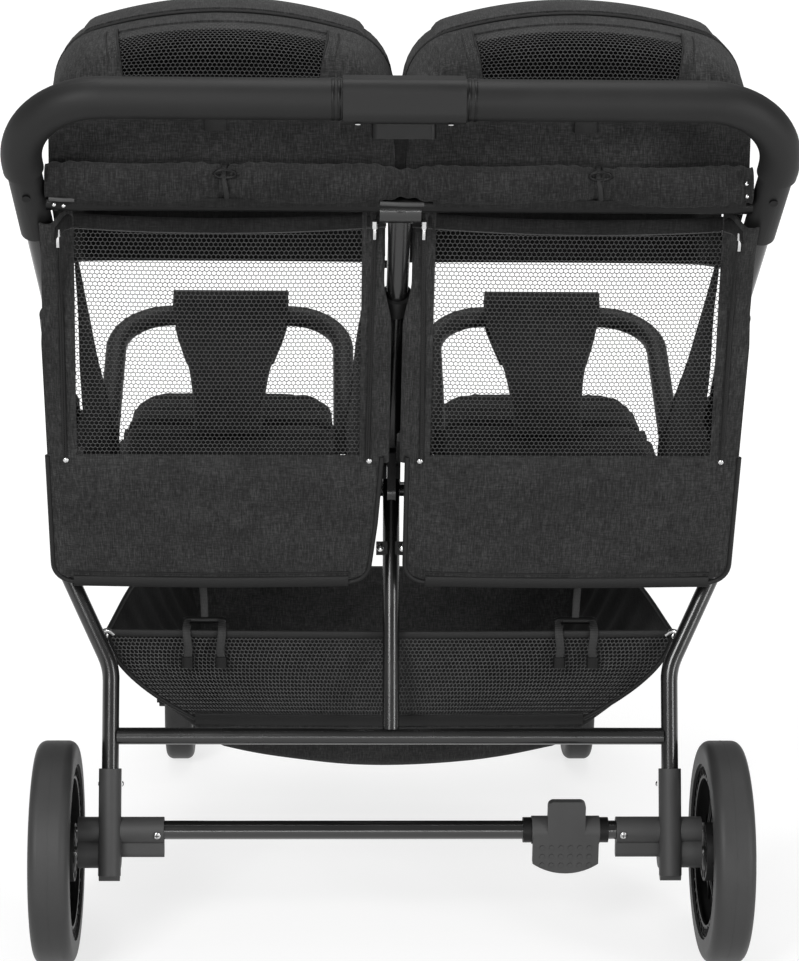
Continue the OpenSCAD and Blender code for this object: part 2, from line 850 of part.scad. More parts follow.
module seat_back(side) {
    color(net) on_side(side) {
        back_frame() linear_extrude(back_t) difference() {
            back_outline();
            net_holes();
            for (share = [-lug_share, lug_share])
                translate([seat_x + share * pan_w, 0]) square([notch_w, notch_h], center = true);
        }
        x_disc(seat_x - pan_w / 2, seat_x + pan_w / 2, back_axis, rod_d / 2);
    }
}

// Net wings that close the sides of each seat
module side_wings() {
    foot = pan_point(0, -pan_behind + pan_corner, 0);
    front = pan_point(0, wing_front - pan_behind / 2, 0);
    reach = back_h * wing_top_share;
    top = back_axis + [0, -sin(back_tilt) * reach + wing_gap, cos(back_tilt) * reach];
    wall = [yz(foot), yz(front), yz(front) + [0, 2 * lug_r], yz(top)];
    lip = [yz(foot), yz(front), yz(front) + [0, wing_t], yz(foot) + [0, wing_t]];
    color(net) for (side = [-1, 1]) on_side(side) {
        x_plate(wing_outer_x - wing_t, wing_outer_x) polygon(wall);
        x_plate(seat_x + pan_w / 2 + loose, wing_outer_x) polygon(lip);
        x_plate(wing_inner_x, wing_inner_x + wing_t) polygon(wall);
        x_plate(wing_inner_x, seat_x - pan_w / 2 - loose) polygon(lip);
    }
}

module calf_rest(side) {
    start = calf_front_gap;
    color(cloth) on_side(side) {
        translate([seat_x, calf_axis.y, calf_axis.z - calf_t / 2]) linear_extrude(calf_t) difference() {
            union() {
                translate([-calf_w / 2, start]) square([calf_w, calf_l - start - calf_corner]);
                translate([-calf_w / 2 + calf_corner, start])
                    square([calf_w - 2 * calf_corner, calf_l - start]);
                for (x = [-1, 1]) translate([x * (calf_w / 2 - calf_corner), calf_l - calf_corner])
                    circle(calf_corner);
                translate([-calf_w / 2, 0]) square([calf_w, start]);
            }
            for (share = [-lug_share, lug_share])
                translate([share * pan_w - notch_w / 2, -start]) square([notch_w, 2 * start]);
        }
        x_disc(seat_x - calf_w / 2, seat_x + calf_w / 2, calf_axis, rod_d / 2);
    }
}

// Bumper bars swing open on an upright pin at their outer end
bumper_route = [[bumper_outer_x, bumper_mount_y, bumper_start_z], [bumper_outer_x, bumper_y, bumper_z],
    [bumper_inner_x, bumper_y, bumper_z], [bumper_inner_x, bumper_mount_y, bumper_start_z]];

module bumper_bar(side) {
    color(foam) on_side(side) difference() {
        union() {
            bent_rod(bumper_route, bumper_d, bumper_bend);
            for (x = [bumper_outer_x, bumper_inner_x])
                translate([x, bumper_mount_y, bumper_foot_z]) cylinder(d = bumper_d, h = bumper_foot_h);
        }
        translate([bumper_outer_x, bumper_mount_y, bumper_foot_z - overrun])
            cylinder(d = gate_pin_d + 2 * running, h = gate_pin_h + 2 * overrun);
    }
}

module bumper_mounts() {
    top_z = bumper_foot_z - mount_gap;
    leg_s = (bumper_mount_y - fold_y) / sin(front_tilt);
    sleeve_top = along(front_dir, 0, leg_s).z + leg_sleeve_r / sin(front_tilt);
    arm_z = sleeve_top + mount_r / (2 * tan(front_tilt)) - weld_lap;
    arm_x = front_leg_x - bumper_outer_x;
    color(plastic) for (side = [-1, 1]) on_side(side) {
        translate([bumper_outer_x, bumper_mount_y, arm_z]) cylinder(r = mount_r, h = top_z - arm_z);
        translate([bumper_outer_x, bumper_mount_y, top_z - weld_lap])
            cylinder(d = gate_pin_d, h = gate_pin_h + weld_lap);
        translate([bumper_outer_x, bumper_mount_y - mount_r / 2, arm_z])
            cube([arm_x, mount_r, mount_plate_t]);
    }
    plate_x = bumper_inner_x + mount_r;
    post_z = seat_tube_point.z + crossbar_d / 2 - weld_lap;
    color(plastic) {
        translate([-center_mount_w / 2, seat_tube_point.y - mount_r / 2, post_z])
            cube([center_mount_w, mount_r, top_z - post_z]);
        translate([-plate_x, bumper_mount_y - mount_r, top_z - mount_plate_t])
            cube([2 * plate_x, seat_tube_point.y - bumper_mount_y + mount_r, mount_plate_t]);
    }
}

// Cloth panel that hangs from the bumper bar to the seat
module crotch_panel(side) {
    fall = [0, crotch_foot_y - bumper_y, crotch_foot_z - bumper_z];
    length = norm(fall);
    neck = length * crotch_taper_share;
    angle = atan2(-fall.y, -fall.z);
    hem = bumper_d / 2 + crotch_wall;
    sewn = hem - crotch_wall / 2;
    color(net) on_side(side) {
        translate([seat_x - crotch_top_w / 2, bumper_y, bumper_z]) rotate([0, 90, 0])
            linear_extrude(crotch_top_w) ring_2d(2 * hem, crotch_wall - loose);
        translate([seat_x, bumper_y, bumper_z]) rotate([-angle, 0, 0]) rotate([90, 0, 0])
            translate([0, 0, -crotch_t / 2]) linear_extrude(crotch_t)
                polygon([[-crotch_top_w / 2 + crotch_wall, -sewn], [-crotch_low_w / 2, -neck - hem],
                    [-crotch_low_w / 2, -length], [crotch_low_w / 2, -length],
                    [crotch_low_w / 2, -neck - hem], [crotch_top_w / 2 - crotch_wall, -sewn]]);
    }
}

// Canopies turn about one axis: a fixed rear part and a front part that slides back under it
module canopy_profile(in_by) {
    corner = canopy_corner - in_by;
    roof = canopy_roof_r - in_by;
    arc_x = canopy_half_w - canopy_corner;
    arc_r = canopy_r - canopy_roof_r + sqrt(pow(canopy_roof_r - canopy_corner, 2) - pow(arc_x, 2));
    square([arc_r, canopy_half_w - in_by]);
    translate([arc_r, arc_x]) circle(corner);
    intersection() {
        translate([canopy_r - canopy_roof_r, 0]) circle(roof);
        square([canopy_r, arc_x * roof / (roof - corner)]);
    }
}

// Both halves of the profile, cut off short of the pivot
module canopy_2d(in_by) {
    difference() {
        union() {
            canopy_profile(in_by);
            mirror([0, 1]) canopy_profile(in_by);
        }
        translate([-overrun, -canopy_half_w]) square([overrun + pivot_disc_r / 2, 2 * canopy_half_w]);
    }
}

module canopy_turn(from, to) {
    translate([canopy_x, canopy_pivot.y, canopy_pivot.z]) rotate([0, 90, 0]) rotate([0, 0, 180 - to])
        rotate_extrude(angle = to - from) children();
}

module canopy_shell(in_by, from, to) {
    canopy_turn(from, to) difference() {
        canopy_2d(in_by);
        canopy_profile(in_by + canopy_t);
        mirror([0, 1]) canopy_profile(in_by + canopy_t);
    }
}

module canopy_ears(in_by) {
    wall_x = canopy_half_w - in_by;
    for (x = [-wall_x - ear_proud, wall_x - canopy_t - ear_proud])
        x_disc(canopy_x + x, canopy_x + x + canopy_t + 2 * ear_proud, canopy_pivot, pivot_disc_r);
}

module canopy_bore() {
    reach = canopy_half_w + overrun;
    x_disc(canopy_x - reach, canopy_x + reach, canopy_pivot, pivot_pin_d / 2 + running);
}

module canopy_rear(side) {
    reach = 2 * canopy_r;
    corner = [canopy_x - canopy_r, canopy_pivot.y - canopy_back, canopy_pivot.z - canopy_r];
    color(cloth) on_side(side) difference() {
        union() {
            intersection() {
                canopy_shell(0, rear_shell_from, rear_shell_to);
                translate(corner) cube([reach, reach, reach]);
            }
            intersection() {
                canopy_turn(rear_shell_from, rear_shell_to) canopy_2d(0);
                translate(corner) cube([reach, canopy_t, reach]);
            }
            canopy_ears(0);
        }
        canopy_bore();
    }
}

module canopy_front(side) {
    inset = canopy_t + canopy_gap;
    color(cloth) on_side(side) difference() {
        union() {
            canopy_shell(inset, front_shell_from, front_shell_to);
            canopy_ears(inset);
        }
        canopy_bore();
    }
}

// Clips on the uprights and the middle tube that carry the canopy pins
module pivot_clip(at, d, x0, x1) {
    half_l = up_dir * pivot_collar_l / 2;
    difference() {
        union() {
            rod(at - half_l, at + half_l, d + 2 * pivot_collar_wall);
            x_plate(x0, x1) link_2d(yz(canopy_pivot), yz(at), pivot_arm_r);
        }
        rod(at - 2 * half_l, at + 2 * half_l, d + 2 * loose);
    }
}

module canopy_pivots() {
    pin_in = 2 * canopy_t + canopy_gap + pivot_lap;
    outer_x = canopy_x + canopy_half_w + ear_proud + soft_gap;
    inner_x = canopy_x - canopy_half_w;
    color(plastic) {
        for (side = [-1, 1]) on_side(side) {
            pivot_clip(upright_at(pivot_collar_s), upright_d, outer_x, outer_x + pivot_arm_t);
            x_disc(outer_x - pin_in, outer_x + pivot_lap, canopy_pivot, pivot_pin_d / 2);
        }
        pivot_clip(along(up_dir, 0, canopy_along), center_tube_d, -pivot_plate_t / 2, pivot_plate_t / 2);
        x_disc(-inner_x - pin_in, inner_x + pin_in, canopy_pivot, pivot_pin_d / 2);
    }
}

// Rear flap, rolled up on the crossbar and drawn in where it is tied
function flap_draw(x) = 1 - flap_gather_share
    * max([for (t = flap_tie_shares) exp(-pow((x - t * flap_half_w) / flap_gather_w, 2))]);
function flap_point(i, k) =
    let (x = flap_half_w * (2 * i / flap_rings - 1), a = 360 * k / flap_sides,
         swell = flap_wave * sin(flap_waves * 360 * i / flap_rings + a))
    [x, (flap_ry + swell) * flap_draw(x) * cos(a),
        (flap_rz + swell) * flap_draw(x) * sin(a) - flap_rz * (1 - flap_draw(x))];

module rolled_flap() {
    at = along(up_dir, 0, socket_s);
    points = [for (i = [0 : flap_rings], k = [0 : flap_sides - 1]) flap_point(i, k)];
    last = flap_rings * flap_sides;
    cells = [for (i = [0 : flap_rings - 1], k = [0 : flap_sides - 1])
        [i * flap_sides + k, i * flap_sides + (k + 1) % flap_sides]];
    faces = concat(
        [for (c = cells) [c[0], c[1], c[1] + flap_sides]],
        [for (c = cells) [c[0], c[1] + flap_sides, c[0] + flap_sides]],
        [[for (k = [0 : flap_sides - 1]) flap_sides - 1 - k]],
        [[for (k = [0 : flap_sides - 1]) last + k]]);
    color(cloth) translate([0, at.y - flap_behind, at.z + crossbar_d / 2 + flap_rz])
        polyhedron(points, faces);
}

// Straps and fittings that hang below the seats
module strap_fittings() {
    y = pan_origin.y - pan_behind + pan_depth * strap_y_share;
    top = pan_point(0, -pan_behind + pan_depth * strap_y_share, 0).z - soft_gap;
    bar_z = top - strap_l;
    color(cloth) for (side = [-1, 1]) on_side(side) translate([seat_x + strap_aside, y, 0]) {
        translate([-strap_w / 2, 0, bar_z]) cube([strap_w, strap_t, strap_l]);
        translate([-strap_bar.x / 2, -strap_bar.y / 2, bar_z - strap_bar.z]) cube(strap_bar);
        for (x = [-1, 1])
            translate([x * (strap_bar.x - strap_tail_w) / 2, 0, bar_z - strap_bar.z - strap_tail_l]) {
                translate([-strap_tail_w / 2, 0, 0]) cube([strap_tail_w, strap_t, strap_tail_l]);
                translate([-strap_tip.x / 2, -strap_tip.y / 2, -strap_tip.z]) cube(strap_tip);
            }
    }
}

// Rear legs, post, cross tube and axle brackets
module rear_leg(side) {
    route = [along(rear_dir, rear_hub_x, hub_r - rear_tube_d / 2), along(rear_dir, rear_hub_x, rear_bend_s),
        along(rear_dir, rear_leg_x, rear_straight_s), along(rear_dir, rear_leg_x, rear_s(leg_seat_z))];
    hub_x = hub_split_x + hub_gap;
    color(steel) on_side(side) difference() {
        union() {
            bent_tube(route, rear_tube_d, tube_wall, rear_bend);
            x_disc(hub_x, hub_x + hub_outer_t, fold_point, hub_r);
        }
        x_disc(hub_x - overrun, hub_x + hub_outer_t + overrun, fold_point, hinge_pin_d / 2 + running);
    }
}

module rear_cross_tube() {
    reach = rear_leg_x - rear_tube_d / 2 + weld_lap;
    at = along(rear_dir, 0, rear_cross_s);
    color(steel) straight_tube([-reach, at.y, at.z], [reach, at.y, at.z], rear_tube_d, tube_wall);
}

module center_post() {
    start = along(rear_dir, 0, tube_start);
    foot = along(rear_dir, 0, rear_cross_s - rear_tube_d / 2 + weld_lap);
    block = along(rear_dir, 0, post_block_s);
    color(steel) difference() {
        union() {
            rod(start, foot, rear_tube_d);
            x_plate(-tongue_t / 2, tongue_t / 2) link_2d(yz(fold_point), yz(start + rear_dir * ear_r), ear_r);
            translate(block) rotate([-rear_tilt, 0, 0]) {
                cube(post_block, center = true);
                for (x = [-1, 1]) translate([x * rivet_pitch / 2, -post_block.y / 2 - rivet_proud, 0])
                    rotate([-90, 0, 0]) cylinder(d = rivet_d, h = post_block.y / 2);
            }
        }
        x_disc(-cap_w, cap_w, fold_point, hinge_pin_d / 2 + running);
    }
}

module rear_brackets() {
    leg_top = along(rear_dir, rear_leg_x, rear_s(bracket_top_z));
    leg_low = along(rear_dir, rear_leg_x, rear_s(bracket_low_z));
    leg_seat = along(rear_dir, rear_leg_x, rear_s(leg_seat_z));
    screw_at = [bracket_inner_x + bracket_screw_d, axle_point.y, axle_point.z];
    color(plastic) for (side = [-1, 1]) on_side(side) difference() {
        union() {
            rod(leg_top, leg_low, bracket_d);
            x_disc(bracket_inner_x, boss_end_x, axle_point, axle_sleeve_r);
            x_disc(rear_leg_x - web_t / 2, boss_end_x, rear_axis, boss_r);
            x_plate(bracket_inner_x, rear_leg_x) link_2d(yz(axle_point), yz(rear_axis), web_t / 4);
            x_plate(rear_leg_x - web_t / 2, rear_leg_x + web_t / 2)
                link_2d(yz(leg_low), yz(rear_axis), web_t / 4);
            translate([screw_at.x, screw_at.y, screw_at.z]) rotate([90, 0, 0])
                cylinder(d = bracket_screw_d, h = axle_sleeve_r + bracket_screw_proud);
        }
        rod(leg_top - rear_dir * overrun, leg_seat, rear_tube_d + 2 * loose);
        x_disc(bracket_inner_x - overrun, bracket_inner_x + axle_seat, axle_point, axle_d / 2 + loose);
        x_disc(pin_root_x - pin_travel, boss_end_x + overrun, axle_point, brake_pin_d / 2 + running);
        x_disc(stub_root_x, boss_end_x + overrun, rear_axis, stub_d / 2);
    }
}

module rear_axle() {
    reach = bracket_inner_x + axle_seat - soft_gap;
    color(steel) straight_tube([-reach, axle_point.y, axle_point.z], [reach, axle_point.y, axle_point.z],
        axle_d, tube_wall);
}

module stub_axles() {
    head_x = rear_wheel_x + hub_out + soft_gap;
    color(bright) for (side = [-1, 1]) on_side(side) {
        x_disc(stub_root_x, head_x, rear_axis, stub_d / 2);
        x_disc(head_x, head_x + stub_head_t, rear_axis, stub_head_d / 2);
    }
}

// Brake
module brake_collars() {
    color(plastic) for (x = [pedal_x - pedal_w / 2 - pedal_gap - collar_t, pedal_x + pedal_w / 2 + pedal_gap])
        difference() {
            x_disc(x, x + collar_t, axle_point, collar_d / 2);
            x_disc(x - overrun, x + collar_t + overrun, axle_point, axle_d / 2 + running);
        }
}

module brake_pedal() {
    face_y = axle_point.y - pedal_sleeve_d / 2;
    color(plastic) difference() {
        union() {
            x_disc(pedal_x - pedal_w / 2, pedal_x + pedal_w / 2, axle_point, pedal_sleeve_d / 2);
            translate([pedal_x, face_y + lobe_t, axle_point.z]) rotate([90, 0, 0]) linear_extrude(lobe_t) {
                translate([0, lobe_up_h / 2]) rounded_2d(lobe_up_w, lobe_up_h, lobe_corner);
                intersection() {
                    translate([0, -lobe_low_h / 2]) rounded_2d(lobe_low_w, lobe_low_h, lobe_corner);
                    translate([0, lobe_fan_r - lobe_low_h]) circle(lobe_fan_r);
                }
            }
            for (i = [0 : pedal_bump_count - 1], j = [1 : pedal_bump_rows])
                translate([pedal_x + (i - (pedal_bump_count - 1) / 2) * 2 * pedal_bump_d, face_y + lobe_t / 2,
                    axle_point.z - lobe_low_h + j * 2 * pedal_bump_d])
                    rotate([90, 0, 0]) cylinder(d = pedal_bump_d, h = lobe_t / 2 + pedal_bump_proud);
        }
        x_disc(pedal_x - pedal_w, pedal_x + pedal_w, axle_point, axle_d / 2 + running);
    }
}

module brake_pin(side) {
    color(bright) on_side(side) x_disc(pin_root_x, pin_tip_x, axle_point, brake_pin_d / 2);
}

// Wheels
module tyre_2d(r, inner_r, w, shoulder) {
    translate([inner_r, -w / 2]) square([r - shoulder - inner_r, w]);
    translate([inner_r, -w / 2 + shoulder]) square([r - inner_r, w - 2 * shoulder]);
    for (x = [-1, 1]) translate([r - shoulder, x * (w / 2 - shoulder)]) circle(shoulder);
}

module rear_tyre(side) {
    color(tread) on_side(side) translate([rear_wheel_x, 0, rear_axis.z]) rotate([0, 90, 0]) rotate_extrude()
        tyre_2d(rear_wheel_d / 2, rear_rim_r + running, rear_tyre_w, shoulder_r);
}

module rear_rim(side) {
    hub_from = rear_wheel_x - hub_in;
    color(plastic) on_side(side) difference() {
        union() {
            translate([rear_wheel_x, 0, rear_axis.z]) rotate([0, 90, 0]) rotate_extrude() {
                translate([rear_rim_r - rim_lip, -rim_w / 2]) square([rim_lip, rim_w]);
                translate([wheel_hub_r - rim_lip, -web_wall / 2])
                    square([rear_rim_r - wheel_hub_r, web_wall]);
            }
            x_disc(hub_from, rear_wheel_x + hub_out, rear_axis, wheel_hub_r);
        }
        x_disc(hub_from - overrun, rear_wheel_x + hub_out + overrun, rear_axis, stub_d / 2 + running);
        for (k = [0 : window_count - 1])
            translate(rear_axis) rotate([360 * k / window_count, 0, 0])
                x_disc(rear_wheel_x - rear_tyre_w, rear_wheel_x + rear_tyre_w,
                    [0, 0, window_ring_r], window_r);
        for (k = [0 : pin_hole_count - 1])
            translate(rear_axis) rotate([360 * k / pin_hole_count - atan2(axle_point.y, axle_rise), 0, 0])
                x_disc(hub_from - overrun, hub_from + pin_hole_depth,
                    [0, 0, norm([axle_point.y, axle_rise])], pin_hole_d / 2);
    }
}

module front_fork(side) {
    axle = [0, front_axle_y, front_axle_z];
    arm_top = [0, swivel_y - trail / 2, crown_z + crown_t - fork_r];
    plate_l = crown_r + trail / 2 + fork_r;
    color(plastic) on_side(side) {
        translate([swivel_x, swivel_y, crown_z]) cylinder(r = crown_r, h = crown_t);
        translate([swivel_x - fork_x - fork_t, swivel_y - plate_l, crown_z])
            cube([2 * (fork_x + fork_t), plate_l, crown_t]);
        translate([swivel_x, swivel_y, crown_z + crown_t / 2])
            cylinder(d = stem_d, h = crown_t / 2 + housing_gap + stem_h);
        for (x = [-fork_x - fork_t, fork_x]) x_plate(swivel_x + x, swivel_x + x + fork_t)
            link_2d(yz(axle), yz(arm_top), fork_r);
        for (x = [-fork_x - fork_t - axle_head_t, fork_x + fork_t])
            x_disc(swivel_x + x, swivel_x + x + axle_head_t, axle, axle_head_d / 2);
        x_disc(swivel_x - fork_x - fork_t, swivel_x + fork_x + fork_t, axle, front_axle_d / 2);
    }
}

module front_tyre(side) {
    color(tread) on_side(side) translate([swivel_x, front_axle_y, front_axle_z]) rotate([0, 90, 0])
        rotate_extrude() tyre_2d(front_wheel_d / 2, front_rim_r + running, front_tyre_w, front_shoulder_r);
}

module front_rim(side) {
    axle = [0, front_axle_y, front_axle_z];
    hub_w = fork_x - soft_gap;
    color(plastic) on_side(side) difference() {
        union() {
            translate([swivel_x, axle.y, axle.z]) rotate([0, 90, 0]) rotate_extrude() {
                translate([front_hub_r - front_web_wall, -front_web_wall / 2])
                    square([front_rim_r - front_hub_r + front_web_wall, front_web_wall]);
                translate([front_rim_r - front_web_wall, -front_rim_w / 2])
                    square([front_web_wall, front_rim_w]);
            }
            x_disc(swivel_x - hub_w, swivel_x + hub_w, axle, front_hub_r);
        }
        x_disc(swivel_x - fork_x, swivel_x + fork_x, axle, front_axle_d / 2 + running);
        for (k = [0 : front_hole_count - 1])
            translate(axle) rotate([360 * k / front_hole_count, 0, 0])
                x_disc(swivel_x - fork_x, swivel_x + fork_x, [0, 0, front_hole_ring_r], front_hole_r);
    }
}

// Open topped cloth basket between the legs
module basket_bar(x, y, z, d) {
    rod([-x, y, z], [x, y, z], d, $fn = 16);
}

module basket_form(inset, d, lift) {
    rim = along(rear_dir, 0, rear_s(basket_rim_z));
    front = along(front_dir, 0, front_cross_s);
    front_y = front.y - rear_tube_d / 2 - basket_front_gap - basket_wall;
    front_z = front.z + basket_front_drop;
    hull() {
        basket_bar(basket_rim_x - inset, rim.y + basket_rear_gap, basket_rim_z + lift, d);
        basket_bar(basket_low_x - inset, basket_low_y, basket_low_z, d);
        basket_bar(basket_belly_x, basket_belly_y, basket_base_z, d);
        basket_bar(basket_front_x - inset, basket_front_low_y, basket_front_low_z, d);
        basket_bar(basket_front_x - inset, front_y, front_z + lift, d);
    }
}

module basket() {
    rim = along(rear_dir, 0, rear_s(basket_rim_z));
    thick = 4 * basket_wall;
    hook_stop = (rear_tube_d / 2 + basket_hook_gap) / sqrt(2);
    leg_x = rear_leg_x + (rear_hub_x - rear_leg_x) * (rear_straight_s - rear_s(basket_rim_z))
        / (rear_straight_s - rear_bend_s);
    color(net) {
        difference() {
            basket_form(0, thick, 0);
            translate([0, 0, basket_wall]) basket_form(basket_wall, thick - 2 * basket_wall, basket_above);
        }
        for (side = [-1, 1]) on_side(side)
            rod([basket_rim_x - basket_wall / 2, rim.y + basket_rear_gap, basket_rim_z],
                [leg_x - hook_stop, rim.y + hook_stop, basket_rim_z], basket_hook_d);
    }
}

placed() {
    uprights();
    front_legs();
    side_hub(-1);  // side_hub_left
    side_hub(1);  // side_hub_right
    hinge_pins();
    handle_bar();
    handle_grips();
    fold_housing();
    handle_sockets();
    upper_crossbar();
    center_tube();
    front_cross_tube();
    seat_tube();
    swivel_housings();
    seat_pan(-1);  // seat_pan_left
    seat_pan(1);  // seat_pan_right
    seat_pad(-1);  // seat_pad_left
    seat_pad(1);  // seat_pad_right
    side_wings();
    rolled_flap();
    canopy_pivots();
    canopy_rear(-1);  // canopy_rear_left
    canopy_rear(1);  // canopy_rear_right
    bumper_mounts();
    strap_fittings();
    rear_leg(-1);  // rear_leg_left
    rear_leg(1);  // rear_leg_right
    rear_cross_tube();
    center_post();
    rear_brackets();
    rear_axle();
    stub_axles();
    brake_collars();
    basket();
    snap_button(-1);  // snap_button_left
    snap_button(1);  // snap_button_right
    fold_trigger();
    seat_back(-1);  // seat_back_left
    seat_back(1);  // seat_back_right
    canopy_front(-1);  // canopy_front_left
    canopy_front(1);  // canopy_front_right
    bumper_bar(-1);  // bumper_bar_left
    bumper_bar(1);  // bumper_bar_right
    crotch_panel(-1);  // crotch_panels_left
    crotch_panel(1);  // crotch_panels_right
    calf_rest(-1);  // calf_rest_left
    calf_rest(1);  // calf_rest_right
    brake_pedal();
    brake_pin(-1);  // brake_pin_left
    brake_pin(1);  // brake_pin_right
    rear_tyre(-1);  // rear_tyre_left
    rear_tyre(1);  // rear_tyre_right
    rear_rim(-1);  // rear_rim_left
    rear_rim(1);  // rear_rim_right
    front_fork(-1);  // front_fork_left
    front_fork(1);  // front_fork_right
    front_tyre(-1);  // front_tyre_left
    front_tyre(1);  // front_tyre_right
    front_rim(-1);  // front_rim_left
    front_rim(1);  // front_rim_right
}
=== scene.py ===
import math

import bpy
import numpy as np
from mathutils import Matrix, Vector


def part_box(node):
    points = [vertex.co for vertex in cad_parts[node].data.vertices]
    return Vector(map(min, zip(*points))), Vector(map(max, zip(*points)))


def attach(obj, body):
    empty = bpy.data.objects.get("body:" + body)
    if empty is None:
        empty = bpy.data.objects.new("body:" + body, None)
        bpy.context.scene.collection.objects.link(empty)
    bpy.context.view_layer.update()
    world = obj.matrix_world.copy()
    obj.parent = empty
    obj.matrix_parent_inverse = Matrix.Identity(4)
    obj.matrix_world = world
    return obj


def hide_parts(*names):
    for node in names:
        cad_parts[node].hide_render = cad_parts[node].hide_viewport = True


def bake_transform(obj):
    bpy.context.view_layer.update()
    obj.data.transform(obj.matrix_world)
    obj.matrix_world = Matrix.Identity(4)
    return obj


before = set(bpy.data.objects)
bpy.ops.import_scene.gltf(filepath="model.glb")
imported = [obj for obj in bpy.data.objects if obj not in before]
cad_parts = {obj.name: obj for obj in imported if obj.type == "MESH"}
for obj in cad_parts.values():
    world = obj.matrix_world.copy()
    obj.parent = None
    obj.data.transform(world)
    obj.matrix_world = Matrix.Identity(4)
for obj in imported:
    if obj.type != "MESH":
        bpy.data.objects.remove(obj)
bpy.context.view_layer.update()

# Sizes are millimetres in the frame that the part is drawn in: rear wheel axis at Y zero.
SIDES = {"left": -1, "right": 1}
MID_Y = -500 * sum(v.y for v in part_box("rear_tyre_left"))


def row(points):
    """Millimetres of the drawing frame as metres of the row frame."""
    p = np.asarray(points, float).reshape(-1, 3) / 1000
    p[:, 1] -= MID_Y / 1000
    return p


def at(x, y, z):
    return tuple(row([[x, y, z]])[0])


def middle(node):
    """Middle of a carried over node's box, in the drawing frame."""
    low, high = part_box(node)
    return np.array((low + high) / 2) * 1000 + [0, MID_Y, 0]


# Frame points taken over from the part's source
SEAT_X = 178.0
BACK_AXIS = np.array([0, 58.77, 435.86])
BACK_TILT = math.radians(14.5)
BACK_OUT = np.array([0, -math.cos(BACK_TILT), -math.sin(BACK_TILT)])
BACK_UP = np.array([0, -math.sin(BACK_TILT), math.cos(BACK_TILT)])
POST_OUT = np.array([0, -math.cos(math.radians(21.4)), math.sin(math.radians(21.4))])
PIVOT = np.array([0, 43.24, 747.57])
HANDLE, BAR, AXLE = middle("fold_housing"), middle("upper_crossbar"), middle("rear_axle")
WHEEL = middle("rear_tyre_right")
CALF = np.array([0, 1000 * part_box("calf_rest_right")[0].y + MID_Y + 4, middle("calf_rest_right")[2]])


# Materials
def add(tree, kind, values=None, links=None):
    """New shader node with some inputs set and others linked."""
    node = tree.nodes.new("ShaderNode" + kind)
    put(node.inputs, values or {})
    for key, socket in (links or {}).items():
        tree.links.new(socket, node.inputs[key])
    return node


def put(inputs, values):
    for key, value in values.items():
        inputs[key].default_value = value


def new_material(name):
    m = bpy.data.materials.new(name)
    m.use_nodes = True
    tree = m.node_tree
    return m, tree, tree.nodes["Principled BSDF"].inputs, add(tree, "TexCoord").outputs["Object"]


def noise(tree, coords, scale, detail=3.0, stretch=(1, 1, 1), rough=0.55):
    mapping = add(tree, "Mapping", {"Scale": stretch}, {"Vector": coords})
    n = add(tree, "TexNoise", {"Scale": scale, "Detail": detail, "Roughness": rough},
            {"Vector": mapping.outputs["Vector"]})
    return n.outputs["Fac"]


def ramp(tree, source, stops, target):
    """Grey levels along a source, linked to a shader input."""
    r = add(tree, "ValToRGB", None, {"Fac": source})
    e = r.color_ramp.elements
    while len(e) < len(stops):
        e.new(0.5)
    for k, (pos, level) in enumerate(stops):
        e[k].position = pos
        e[k].color = (level, level, level, 1)
    tree.links.new(r.outputs["Color"], target)


def math_node(tree, op, a, b):
    n = add(tree, "Math")
    n.operation = op
    for k, v in enumerate((a, b)):
        if isinstance(v, (int, float)):
            n.inputs[k].default_value = v
        else:
            tree.links.new(v, n.inputs[k])
    return n.outputs[0]


def weighted(tree, *pairs):
    """Sum of sources, each times its share."""
    total = None
    for source, share in pairs:
        term = math_node(tree, "MULTIPLY", source, share)
        total = math_node(tree, "ADD", total, term) if total else term
    return total


def bump(tree, shader, height, strength, distance):
    b = add(tree, "Bump", {"Strength": strength, "Distance": distance}, {"Height": height})
    tree.links.new(b.outputs["Normal"], shader["Normal"])


def grained(name, dark, light, rough, grain, depth, metal=0.0, coat=0.0, spec=0.5):
    """Painted, moulded or metal surface: cloudy colour, uneven gloss and a fine grain."""
    m, tree, shader, coords = new_material(name)
    cloud, fine = noise(tree, coords, 14, 4), noise(tree, coords, grain, 2)
    ramp(tree, weighted(tree, (cloud, 0.6), (fine, 0.4)), [(0.3, dark), (0.7, light)], shader["Base Color"])
    ramp(tree, cloud, [(0.25, rough - 0.05), (0.75, rough + 0.07)], shader["Roughness"])
    bump(tree, shader, fine, 0.35, depth)
    put(shader, {"Metallic": metal, "Coat Weight": coat, "Coat Roughness": 0.12, "Specular IOR Level": spec})
    return m


def woven(name, dark, mid, light, streak, thread=900.0):
    """Heathered cloth: long and cross threads of uneven colour, with a weave in the bump."""
    m, tree, shader, coords = new_material(name)
    warp = noise(tree, coords, 1.0, 4, (thread, thread / 9, thread / 9), 0.7)
    weft = noise(tree, coords, 1.0, 3, (thread / 7, thread * 0.9, thread * 0.9), 0.6)
    total = weighted(tree, (warp, 0.5 + streak), (weft, 0.35), (noise(tree, coords, 22, 3), 0.15))
    centre, spread = (1 + streak) / 2, 0.17
    stops = [(centre - spread, dark), (centre, mid), (centre + spread, light)]
    ramp(tree, total, stops, shader["Base Color"])
    put(shader, {"Roughness": 0.85, "Sheen Weight": 0.05, "Sheen Roughness": 0.5, "Specular IOR Level": 0.1})
    bump(tree, shader, math_node(tree, "ADD", warp, weft), 0.5, 0.0006)
    return m


